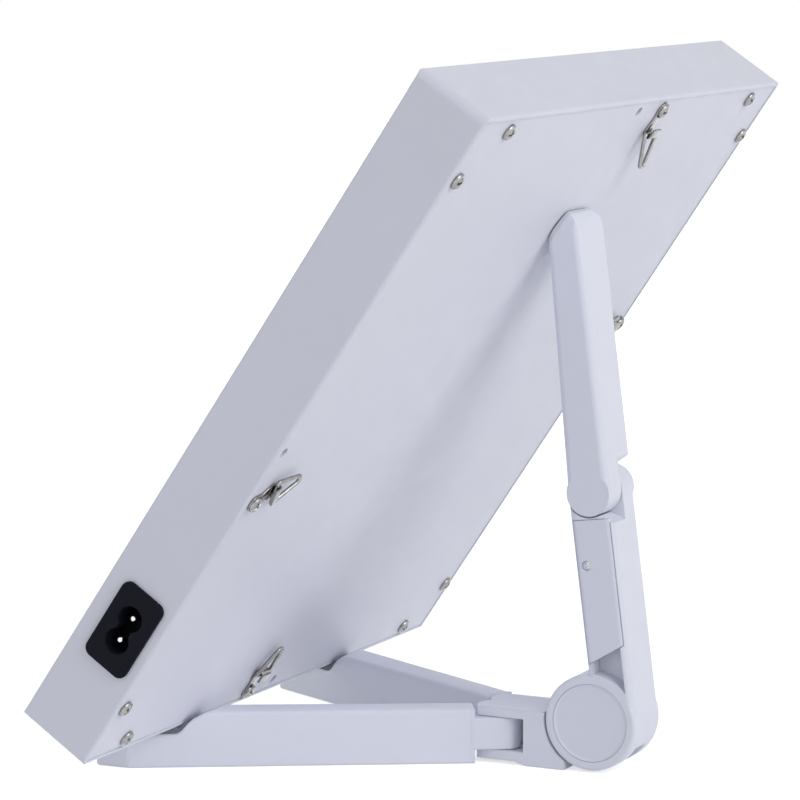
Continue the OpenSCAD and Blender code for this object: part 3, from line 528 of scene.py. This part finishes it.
def plated(name, colour, low=0.1, high=0.26):
    """Plated steel: cloudy tone, streaks of polish and small pits."""
    made = Finish(name)
    made.set(Metallic=1.0)
    made.tint(made.noise(420, detail=4), colour, spread=0.16)
    made.rough(made.noise(900, detail=3, stretch=(1, 1, 0.2)), low, high)
    made.bump(made.noise(3200), depth=0.01 * MM)
    return made


def rubbery(name, colour):
    """Soft rubber: dull, with a coarse skin."""
    made = Finish(name)
    made.tint(made.noise(700, detail=3), colour, spread=0.05)
    made.rough(made.noise(500), low=0.65, high=0.85)
    made.bump(made.noise(1800, detail=3), depth=0.05 * MM)
    return made


def clear_window(name, colour):
    """Clear acrylic: see-through, with a polish that varies a little."""
    made = Finish(name)
    made.set(Transmission_Weight=1.0, IOR=1.49)
    made.tint(made.noise(20), colour, spread=0.01)
    made.rough(made.noise(60), low=0.0, high=0.012)
    return made


def lens_plastic(name, colour):
    """A clear tinted lens, brighter at some emitters than at others."""
    made = Finish(name)
    made.set(Transmission_Weight=0.1, IOR=1.5, Coat_Weight=0.2)
    made.tint(made.noise(90), colour, spread=0.2)
    made.rough(made.noise(400), low=0.12, high=0.22)
    return made


def circuit(name, colour, track_shade, tracks_per_metre=68.5):
    """A printed board: a square grid of slightly raised tracks under its lacquer, in the board's colour
    times a shade. The grid is turned to lie with the panel."""
    made = Finish(name)
    lean = math.asin(-PANEL.axes[1][2])
    turn = made.add("Mapping", Rotation=(lean, 0, 0))
    made.link(made.coords, turn.inputs["Vector"])
    tracks = made.add(
        "TexBrick", Scale=tracks_per_metre, Mortar_Size=0.05, Brick_Width=1.0, Row_Height=1.0)
    tracks.offset = 0.0
    made.link(turn.outputs["Vector"], tracks.inputs["Vector"])
    shaded = [track_shade * c for c in colour]
    made.link(made.blend(tracks.outputs["Fac"], colour, shaded), made.shader.inputs["Base Color"])
    made.rough(made.noise(200), low=0.35, high=0.5)
    made.bump(tracks.outputs["Fac"], depth=0.04 * MM)
    return made


def wound(name, colour):
    """A tape-wrapped winding: fine turns around it."""
    made = Finish(name)
    made.tint(made.noise(240, detail=3, stretch=(1, 6, 1)), colour, spread=0.2)
    made.rough(made.noise(300), low=0.4, high=0.6)
    made.bump(made.noise(700, stretch=(0.2, 4, 0.2)), depth=0.1 * MM)
    return made


FINISHES = {
    "frame_white": moulded,
    "back_white": partial(moulded, low=0.42, high=0.56, grain=0.03 * MM),
    "stand_white": partial(moulded, low=0.34, high=0.48),
    "cap_grey": partial(moulded, low=0.3, high=0.42),
    "inlet_black": partial(moulded, low=0.4, high=0.55, grain=0.04 * MM, shine=0.06),
    "washer_grey": moulded,
    "chip_black": partial(moulded, low=0.5, high=0.65),
    "capacitor_blue": partial(moulded, low=0.25, high=0.35),
    "lead_brown": moulded,
    "lead_red": moulded,
    "zinc": plated,
    "pin_nickel": partial(plated, low=0.12, high=0.28),
    "rubber_grey": rubbery,
    "rubber_pale": rubbery,
    "window_clear": clear_window,
    "emitter_red": lens_plastic,
    "emitter_infrared": lens_plastic,
    "board_white": partial(circuit, track_shade=0.72),
    "driver_green": partial(circuit, track_shade=1.5),
    "transformer_yellow": wound,
}


def finish(slot):
    """The material of a slot, made once, in the colour chosen for it or else in the record's."""
    name = slot + "_finish"
    found = bpy.data.materials.get(name)
    if found:
        return found
    colour = getattr(bpy.context.scene.panel_colours, slot, COLOURS[slot])
    return FINISHES[slot](name, list(colour)).material


def pan_screw(place, head, shank, recess, turn=0.0, steps=96, dome_rows=30):
    """A pan-head screw along the place's second axis, its seat at the origin. Head, shank and cross recess
    are each a size across and a size along. Rows run from the shank's tip to the head's rim and over a
    dome, which rises by the root of 1 less a power of the radius. A cross, the lesser of two bars'
    distances, is sunk into the dome with a smooth edge and grows shallower outward."""
    head_d, head_h = head
    shank_d, shank_l = shank
    recess_w, recess_depth = recess
    radius, core = head_d / 2, shank_d / 2
    rim_h, rim_r = 0.35 * head_h, 0.09 * head_h
    below = np.array([
        [0.6 * core, -shank_l], [core, -0.9 * shank_l], [core, 0],
        [radius - rim_r, 0], [radius, rim_r], [radius, rim_h]])
    share = np.linspace(1, 0.02, dome_rows)
    dome = np.column_stack([share * radius, rim_h + (head_h - rim_h) * np.sqrt(1 - share ** 2.4)])
    profile = np.concatenate([below, dome[1:]])
    angle = around(steps)
    r = profile[:, 0][:, None]
    x, z = r * np.cos(angle + turn), r * np.sin(angle + turn)
    bar_half, bar_reach, slope = recess_w / 2, 0.62 * radius, 0.25 * recess_w
    bars = [np.maximum(np.abs(a) - bar_half, np.abs(b) - bar_reach) for a, b in ((x, z), (z, x))]
    inside = np.clip(0.5 - np.minimum(*bars) / slope, 0, 1)
    depth = recess_depth * inside ** 2 * (3 - 2 * inside) * (1 - 0.35 * r / radius)
    on_dome = (np.arange(len(profile)) >= len(below))[:, None]
    height = profile[:, 1][:, None] - depth * on_dome
    return loft(place.put(np.stack([r * np.cos(angle), height, r * np.sin(angle)], -1)))


def wire(place, path, normal, radius, steps=14):
    """A round wire along a closed flat path: at each point a circle in the plane of the path's normal and
    of the direction across the path."""
    along = np.roll(path, -1, 0) - np.roll(path, 1, 0)
    along /= np.linalg.norm(along, axis=1, keepdims=True)
    across = np.cross(along, normal)[:, None]
    angle = around(steps)[:, None]
    rows = path[:, None] + radius * (np.cos(angle) * across + np.sin(angle) * np.asarray(normal))
    return loft(place.put(rows), ring=True)


def soft_corners(corners, reach, steps=9):
    """A closed path with its corners rounded: between the points a short reach before and after a corner
    it runs along a parabola whose control point is the corner."""
    corners = np.asarray(corners, float)
    ends = []
    for shift in (1, -1):
        way = np.roll(corners, shift, 0) - corners
        ends.append(corners + reach * way / np.linalg.norm(way, axis=1, keepdims=True))
    t = np.linspace(0, 1, steps)[:, None]
    start, corner, end = (points[:, None] for points in (ends[0], corners, ends[1]))
    rounded = (1 - t) ** 2 * start + 2 * t * (1 - t) * corner + t ** 2 * end
    return rounded.reshape(-1, corners.shape[1])


def strap_skin(place, sizes):
    """A hanger's strap: a thin rounded section carried along the folded sheet's middle line, which runs
    flat from the screw's round end, half a turn around the wire and a short way back. Its width is the
    lesser of the round end's chord and a softened line from the end over the neck to the loop."""
    bend = (sizes.loop_d + sizes.strap_t) / 2
    end_r = sizes.strap_end_r
    end = sizes.strap_screw + end_r
    flat = end - end * np.linspace(0, 1, 30) ** 1.6
    turn = np.linspace(0, math.pi, 16)[1:]
    tail = np.linspace(0, sizes.strap_tail, 6)[1:]
    fold = np.concatenate([np.zeros(len(flat)), turn, np.full(len(tail), math.pi)])
    along = np.concatenate([flat, np.zeros(len(turn)), tail])
    gone = end - np.concatenate([flat, np.zeros(len(turn) + len(tail))])
    chord = 2 * np.sqrt(np.clip(end_r ** 2 - np.clip(end_r - gone, 0, None) ** 2, 0, None))
    knots = [0, end_r, 0.55 * end, 0.85 * end]
    widths = [2 * end_r, 2 * end_r, sizes.strap_neck, sizes.strap_w]
    body = softened(gone, knots, widths, reach=0.6 * MM)
    least_w, edge_r = 0.5 * MM, 0.2 * MM
    width = np.maximum(np.minimum(chord, body), least_w)
    loops = sections(width, np.full(len(width), sizes.strap_t), edge_r, edge_r, steps=4)
    out = bend + loops[..., 1]
    rows = np.stack([
        loops[..., 0], -np.cos(fold)[:, None] * out, along[:, None] - np.sin(fold)[:, None] * out], -1)
    return loft(place.put(rows))


def figure_eight(angle, pitch, lobe_d, waist):
    """The socket's outline as a distance from its middle: the farther of the waist's edge and, where the
    direction meets it, the far side of a lobe's circle."""
    c, s = (np.maximum(np.abs(way), 1e-6) for way in (np.cos(angle), np.sin(angle)))
    edge = np.minimum(pitch / 2 / c, waist / 2 / s)
    room = (lobe_d / 2) ** 2 - (pitch / 2 * s) ** 2
    lobe = pitch / 2 * c + np.sqrt(np.clip(room, 0, None))
    return np.where(room > 0, np.maximum(edge, lobe), edge)


def rounded_reach(angle, length, width, radius, halvings=48):
    """A rounded rectangle's outline as a distance from its middle, found by halving along each
    direction."""
    way = np.stack([np.abs(np.cos(angle)), np.abs(np.sin(angle))], -1)
    core = np.array([length / 2 - radius, width / 2 - radius])
    near, far = np.zeros(len(angle)), np.full(len(angle), length + width)
    for _ in range(halvings):
        middle = (near + far) / 2
        past = np.linalg.norm(np.clip(way * middle[:, None] - core, 0, None), axis=1) > radius
        near, far = np.where(past, near, middle), np.where(past, middle, far)
    return near


def leg_stations(first, last, front, lip):
    """Places along a leg, in the order of their marks, closer together where its top or its ends bend."""
    end_gap, end_len = 0.1 * MM, 6 * MM
    marks = [
        first - end_gap, first - end_len, front + 14 * MM, front - 4 * MM, lip + 3 * MM, lip - 4 * MM,
        last + end_len, last + end_gap]
    counts = (14, 24, 36, 8, 20, 8, 14)
    spans = [np.linspace(a, b, n, endpoint=False) for a, b, n in zip(marks[:-1], marks[1:], counts)]
    return np.concatenate(spans + [marks[-1:]])


def leg_beam(sizes, swing):
    """Rows of the right leg's beam, from its pin: rounded sections across the stand from the base to the
    tip. The plan's two edges and the top's broken line, with its step, tray and lip, are softened."""
    eye, corner = sizes.leg_w_base / 2, sizes.leg_corner
    rear, tip = -2 * eye, -sizes.leg_len
    outer = sizes.leg_w_tip - eye
    inner_edge = np.array([
        [eye, rear], [-eye, rear], [-eye, tip + corner], [corner - eye, tip]]) @ swing
    outer_edge = np.array([
        [eye, rear], [outer, tip + 2 * eye], [outer - eye, tip], [corner - eye, tip]]) @ swing
    front = -sizes.tray_y
    lip = front - sizes.tray_len
    step = front + sizes.tray_rise
    tops = np.array([
        [0, sizes.leg_h], [step + sizes.step_len, sizes.leg_h], [step, sizes.leg_h - sizes.step_drop],
        [front, sizes.tray_z], [lip, sizes.tray_z], [lip - sizes.lip_slope, sizes.lip_z],
        [2 * tip, sizes.lip_z]])
    y = leg_stations(inner_edge[0, 1], inner_edge[-1, 1], front, lip)
    x_in, x_out = (
        softened(-y, -edge[:, 1], edge[:, 0], reach=0.8 * MM) for edge in (inner_edge, outer_edge))
    top = softened(-y, -tops[:, 0], tops[:, 1], reach=1.5 * MM)
    loops = sections(x_out - x_in, top, sizes.leg_round, sizes.leg_round_low)
    x = (x_in + x_out)[:, None] / 2 + loops[..., 0]
    return np.stack([x, np.broadcast_to(y[:, None], x.shape), top[:, None] / 2 + loops[..., 1]], -1)


def leg_tongue(sizes, swing):
    """Rows of the tongue by which the right leg turns, from its pin: a plan with a half circle around the
    pin and a straight end inside the beam, a little smaller at its lowest and highest level."""
    eye, soft = sizes.leg_w_base / 2, 0.4 * MM
    inside = -2 * eye - 1 * MM
    half_turn = np.linspace(0, math.pi, 25)
    bow = eye * np.column_stack([np.cos(half_turn), np.sin(half_turn)])
    plan = np.concatenate([bow, [[-eye, inside], [eye, inside]]]) @ swing
    low, high, least = sizes.tongue_low, sizes.tongue_high, 1 - soft / eye
    levels = [(least, low), (1, low + soft), (1, high - soft), (least, high)]
    return np.array([np.column_stack([size * plan, np.full(len(plan), z)]) for size, z in levels])


def leg_skins(sizes, side):
    """A leg's beam and tongue, on the right side (1) or mirrored to the left (-1)."""
    fold = JOINTS["right_leg_fold"]
    turn = -math.radians(fold["range_deg"][0])
    swing = np.array([[math.cos(turn), math.sin(turn)], [-math.sin(turn), math.cos(turn)]])
    pin, mirror = fold["pos_m"][0] * X, np.array([side, 1, 1])
    return [loft((rows + pin) * mirror) for rows in (leg_beam(sizes, swing), leg_tongue(sizes, swing))]


def cap_profile(sizes):
    """Half the section of an axle cap: a foot with a small bevel, a straight side, and a lip that falls
    inward along a parabola to the dish."""
    radius, bevel, sink = sizes.cap_d / 2, 0.3 * MM, 0.05 * MM
    middle, high = 0.01 * radius, sizes.cap_t - sink
    share = np.linspace(1, 0, 9)
    foot = [[middle, 0], [radius - bevel, 0], [radius, bevel]]
    lip = np.column_stack([
        radius - sizes.cap_lip_w * (1 - share), high - sizes.cap_dish * (1 - share ** 2)])
    return np.concatenate([foot, lip, [[middle, high - sizes.cap_dish]]])


class LIGHTPANEL_OT_stage(bpy.types.Operator):
    """The camera at the photographed angle, soft lamps and a pale floor"""

    bl_idname = "lightpanel.stage"
    bl_label = "Stage"

    def execute(self, context):
        scene = context.scene
        scene.view_settings.view_transform = "Standard"
        self.camera(scene, scene.stage_sizes)
        self.lamp(scene, "key_lamp", place=(0.5, 2.2, 1.3), side=1.8, watts=27)
        self.lamp(scene, "fill_lamp", place=(1.9, -0.7, 1.2), side=1.8, watts=5)
        self.lamp(scene, "front_lamp", place=(-0.6, -1.8, 1.5), side=1.6, watts=12)
        self.world(scene, colour=(0.93, 0.95, 1.0), strength=0.36)
        self.floor(scene, scene.stage_sizes.floor_size)
        return {"FINISHED"}

    def camera(self, scene, sizes):
        """The camera, level from side to side."""
        camera = bpy.data.objects.new("camera", bpy.data.cameras.new("camera"))
        camera.data.sensor_width = SENSOR_MM
        camera.data.lens = sizes.lens
        camera.location = sizes.camera_at
        camera.rotation_euler = (math.pi / 2 - sizes.camera_drop, 0, sizes.camera_azimuth)
        scene.collection.objects.link(camera)
        scene.camera = camera

    def lamp(self, scene, name, place, side, watts):
        """A square soft lamp that looks at the object's middle."""
        data = bpy.data.lights.new(name, "AREA")
        data.size = side
        data.energy = watts
        lamp = bpy.data.objects.new(name, data)
        lamp.location = place
        middle = np.array([0, 0, 0.1])
        x, y, z = middle - np.array(place)
        lamp.rotation_euler = (math.atan2(math.hypot(x, y), -z), 0, math.atan2(y, x) - math.pi / 2)
        scene.collection.objects.link(lamp)

    def world(self, scene, colour, strength):
        """A pale even sky, which shows as white to the camera, in metal and through glass."""
        scene.world = bpy.data.worlds.new("sky")
        scene.world.use_nodes = True
        tree = scene.world.node_tree
        sky = tree.nodes["Background"]
        sky.inputs["Color"].default_value = (*colour, 1)
        sky.inputs["Strength"].default_value = strength
        white = tree.nodes.new("ShaderNodeBackground")
        white.inputs["Color"].default_value = (1, 1, 1, 1)
        mix = tree.nodes.new("ShaderNodeMixShader")
        tree.links.new(self.seen(tree), mix.inputs["Fac"])
        tree.links.new(sky.outputs[0], mix.inputs[1])
        tree.links.new(white.outputs[0], mix.inputs[2])
        tree.links.new(mix.outputs[0], tree.nodes["World Output"].inputs["Surface"])

    def seen(self, tree):
        """1 for a ray from the camera, from metal or through glass, 0 for rays that light the object."""
        path = tree.nodes.new("ShaderNodeLightPath")
        found = path.outputs["Is Camera Ray"]
        for ray in ("Is Glossy Ray", "Is Transmission Ray"):
            more = tree.nodes.new("ShaderNodeMath")
            more.operation = "MAXIMUM"
            tree.links.new(found, more.inputs[0])
            tree.links.new(path.outputs[ray], more.inputs[1])
            found = more.outputs[0]
        return found

    def floor(self, scene, size):
        """A flat pale floor, a hair under the stand, with the object's shadow on it."""
        reach = size / 2
        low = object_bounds()[0][2] - 0.2 * MM
        corners = [(-reach, -reach, low), (reach, -reach, low), (reach, reach, low), (-reach, reach, low)]
        mesh = bpy.data.meshes.new("floor")
        mesh.from_pydata(corners, [], [(0, 1, 2, 3)])
        floor = bpy.data.objects.new("floor", mesh)
        scene.collection.objects.link(floor)
        floor.data.materials.append(self.floor_finish())
        floor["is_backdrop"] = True

    def floor_finish(self, near=0.3, far=1.2, near_glow=0.6):
        """Matt white with a glow that only the camera, metal and glass see. It rises from a part glow near
        the object, where the shadow shows, to full white farther away, by the distance in metres."""
        made = Finish("floor_white")
        made.tint(made.noise(3), (0.9, 0.9, 0.91), spread=0.004)
        made.set(Roughness=0.9, Specular_IOR_Level=0.0)
        away = made.add("VectorMath")
        away.operation = "LENGTH"
        made.link(made.coords, away.inputs[0])
        strength = made.add("Math")
        strength.operation = "MULTIPLY"
        made.link(made.carried(away.outputs["Value"], near_glow, 1, near, far), strength.inputs[0])
        made.link(self.seen(made.tree), strength.inputs[1])
        glow = made.add("Emission", Color=(1, 1, 1, 1))
        made.link(strength.outputs[0], glow.inputs["Strength"])
        both = made.add("AddShader")
        made.link(made.shader.outputs[0], both.inputs[0])
        made.link(glow.outputs[0], both.inputs[1])
        made.link(both.outputs[0], made.tree.nodes["Material Output"].inputs["Surface"])
        return made.material


class LIGHTPANEL_OT_solids(bpy.types.Operator):
    """The finish of every solid that shows as it is"""

    bl_idname = "lightpanel.solids"
    bl_label = "Solids"

    def execute(self, context):
        for node, solid in frame["nodes"].items():
            solid.data.materials.clear()
            solid.data.materials.append(finish(SLOT_OF[node]))
        return {"FINISHED"}


class LIGHTPANEL_OT_cover_screws(bpy.types.Operator):
    """Two pan-head screws by each corner of the back plate"""

    bl_idname = "lightpanel.cover_screws"
    bl_label = "Cover screws"

    def execute(self, context):
        sizes = context.scene.panel_sizes
        head = sizes.screw_head_d, sizes.screw_head_h
        shank = SHANK_D, 9 * MM
        recess = sizes.recess_w, sizes.recess_depth
        up = HALF - sizes.screw_edge
        skins = []
        # Each cross stands at an angle of its own, as hand-driven screws do
        for k in range(4):
            quarter = k * math.pi / 2
            for side in (-1, 1):
                along = side * (HALF - sizes.screw_corner)
                x = along * math.cos(quarter) - up * math.sin(quarter)
                z = along * math.sin(quarter) + up * math.cos(quarter)
                driven = 0.7 * k + 0.4 * side
                skins.append(pan_screw(PANEL.moved(x, 0, z), head, shank, recess, turn=driven))
        add_piece("cover_screw_set", skins, "cover_screws")
        return {"FINISHED"}


class LIGHTPANEL_OT_hangers(bpy.types.Operator):
    """A folded strap and its screw for each of the four hangers"""

    bl_idname = "lightpanel.hangers"
    bl_label = "Hangers"

    def execute(self, context):
        sizes = context.scene.panel_sizes
        head = sizes.screw_head_d, sizes.strap_screw_h
        shank = SHANK_D, 2.8 * MM
        recess = sizes.recess_w, 0.9 * MM
        seat = -sizes.loop_d / 2
        straps, screws = [], []
        for k, place in enumerate(HANGERS.values()):
            straps.append(strap_skin(place, sizes))
            driven = 0.9 * k
            screws.append(pan_screw(
                place.moved(0, seat, sizes.strap_screw), head, shank, recess, turn=driven))
        add_piece("hanger_strap_set", straps, "hanger_straps")
        add_piece("hanger_screw_set", screws, "hanger_screws")
        return {"FINISHED"}


class LIGHTPANEL_OT_rings(bpy.types.Operator):
    """The four triangular wire rings, each tilted out from the back as it hangs"""

    bl_idname = "lightpanel.rings"
    bl_label = "Rings"

    def execute(self, context):
        sizes = context.scene.panel_sizes
        half, tip, low = sizes.ring_w / 2, sizes.wire_d, -sizes.ring_len
        flat = soft_corners([[-half, 0], [half, 0], [tip, low], [-tip, low]], reach=1 * MM)
        across, down = flat.T
        for side, place in HANGERS.items():
            tilt = -math.radians(JOINTS[side + "_ring_swing"]["range_deg"][0])
            path = np.column_stack([across, -down * math.sin(tilt), down * math.cos(tilt)])
            skin = wire(place, path, [0, math.cos(tilt), math.sin(tilt)], sizes.wire_d / 2)
            add_piece(side + "_wire_ring", [skin], side + "_ring")
        return {"FINISHED"}


class LIGHTPANEL_OT_inlet(bpy.types.Operator):
    """The mains inlet's housing: a flange with soft edges around a figure-eight socket"""

    bl_idname = "lightpanel.inlet"
    bl_label = "Inlet"

    def execute(self, context):
        sizes = context.scene.inlet_sizes
        place = Place(MOUNTS["mains_inlet"]["pos_m"], PANEL.axes[2], X, PANEL.axes[1])
        angle = around(192)
        flange = rounded_reach(angle, sizes.flange_l, sizes.flange_w, sizes.flange_r)
        end_wall, side_wall, back_wall = 2 * MM, 1.1 * MM, 3.5 * MM
        body_l = sizes.pin_pitch + sizes.lobe_d + 2 * end_wall
        body = rounded_reach(angle, body_l, sizes.lobe_d + 2 * side_wall, radius=1.5 * MM)
        socket = figure_eight(angle, sizes.pin_pitch, sizes.lobe_d, sizes.waist_w)
        soft, middle = 0.5 * MM, 0.02
        floor = -sizes.socket_depth
        back = floor - back_wall
        bend = np.linspace(0, math.pi / 2, 5)
        lines = [
            (middle * body, back), (body - soft, back), (body, back + soft), (body, -sizes.flange_t),
            (flange, -sizes.flange_t)]
        lines += [(flange - soft * (1 - math.cos(a)), soft * (math.sin(a) - 1)) for a in bend]
        lines += [(socket + soft * (1 - math.sin(a)), soft * (math.cos(a) - 1)) for a in bend]
        lines += [(socket, floor), (middle * socket, floor)]
        rows = [
            np.column_stack([r * np.cos(angle), np.full(len(angle), h), r * np.sin(angle)])
            for r, h in lines]
        add_piece("inlet_shell", [loft(place.put(rows))], "inlet_housing")
        return {"FINISHED"}


class LIGHTPANEL_OT_legs(bpy.types.Operator):
    """Both legs with rounded edges, a soft step, a tray and a lip"""

    bl_idname = "lightpanel.legs"
    bl_label = "Legs"

    def execute(self, context):
        sizes = context.scene.stand_sizes
        add_piece("right_leg_skin", leg_skins(sizes, 1), "right_leg")
        add_piece("left_leg_skin", leg_skins(sizes, -1), "left_leg")
        return {"FINISHED"}


class LIGHTPANEL_OT_arm_pieces(bpy.types.Operator):
    """The two dished caps at the axle and the small screw in the lower arm's side"""

    bl_idname = "lightpanel.arm_pieces"
    bl_label = "Arm pieces"

    def execute(self, context):
        sizes = context.scene.stand_sizes
        self.caps(sizes)
        self.side_screw(sizes, list(context.scene.panel_colours.side_screw))
        return {"FINISHED"}

    def caps(self, sizes):
        """A cap on either side of the arm, flush with it."""
        caps = []
        for side in (-1, 1):
            seat = AXLE + side * X * (sizes.arm_w / 2 - sizes.cap_t)
            caps.append(turned(Place(seat, Y, side * X, Z), cap_profile(sizes)))
        add_piece("axle_cap_pair", caps, "axle_caps", sharp=50)

    def side_screw(self, sizes, colour):
        """The screw of the side cover, placed in the leaning arm's own frame, with a paler plating."""
        _, to_back, to_top = ELBOW - AXLE
        lean = math.atan2(to_top, to_back) - math.atan2(sizes.elbow_s, sizes.elbow_b)
        back = math.cos(lean) * Y + math.sin(lean) * Z
        up = math.cos(lean) * Z - math.sin(lean) * Y
        cover_sink = 1 * MM
        side = X * (sizes.arm_w / 2 - cover_sink)
        seat = AXLE + sizes.side_screw_b * back + sizes.side_screw_s * up + side
        screw = pan_screw(
            Place(seat, back, X, up),
            head=(3.2 * MM, 0.7 * MM), shank=(2.2 * MM, 16 * MM), recess=(0.5 * MM, 0.5 * MM))
        piece = add_piece("side_cover_screw", [screw], "lower_arm_screw")
        piece.data.materials[0] = plated("side_screw_finish", colour, low=0.3, high=0.45).material


class LIGHTPANEL_PT_pieces(bpy.types.Panel):
    """The sizes and colours, and the buttons that make the object's pieces"""

    bl_label = "Light panel"
    bl_idname = "LIGHTPANEL_PT_pieces"
    bl_space_type = "VIEW_3D"
    bl_region_type = "UI"
    bl_category = "Light Panel"

    def draw(self, context):
        for name, group in GROUPS.items():
            for value in group.__annotations__:
                self.layout.prop(getattr(context.scene, name), value)
        for operator in OPERATORS:
            self.layout.operator(operator.bl_idname)


OPERATORS = (
    LIGHTPANEL_OT_stage, LIGHTPANEL_OT_solids, LIGHTPANEL_OT_cover_screws, LIGHTPANEL_OT_hangers,
    LIGHTPANEL_OT_rings, LIGHTPANEL_OT_inlet, LIGHTPANEL_OT_legs, LIGHTPANEL_OT_arm_pieces)
GROUPS = {
    "panel_sizes": PanelSizes, "inlet_sizes": InletSizes, "stand_sizes": StandSizes,
    "panel_colours": PanelColours, "stage_sizes": StageSizes}


def register():
    """Registers the classes and hangs the property groups on the scene."""
    for made in (*GROUPS.values(), *OPERATORS, LIGHTPANEL_PT_pieces):
        bpy.utils.register_class(made)
    for name, group in GROUPS.items():
        setattr(bpy.types.Scene, name, PointerProperty(type=group))


def unregister():
    """Takes back what register did, in the opposite order."""
    for name in GROUPS:
        delattr(bpy.types.Scene, name)
    for made in (LIGHTPANEL_PT_pieces, *reversed(OPERATORS), *reversed(GROUPS.values())):
        bpy.utils.unregister_class(made)


def main():
    """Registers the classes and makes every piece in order."""
    register()
    bpy.ops.lightpanel.stage()
    bpy.ops.lightpanel.solids()
    bpy.ops.lightpanel.cover_screws()
    bpy.ops.lightpanel.hangers()
    bpy.ops.lightpanel.rings()
    bpy.ops.lightpanel.inlet()
    bpy.ops.lightpanel.legs()
    bpy.ops.lightpanel.arm_pieces()


if __name__ == "__main__":
    main()
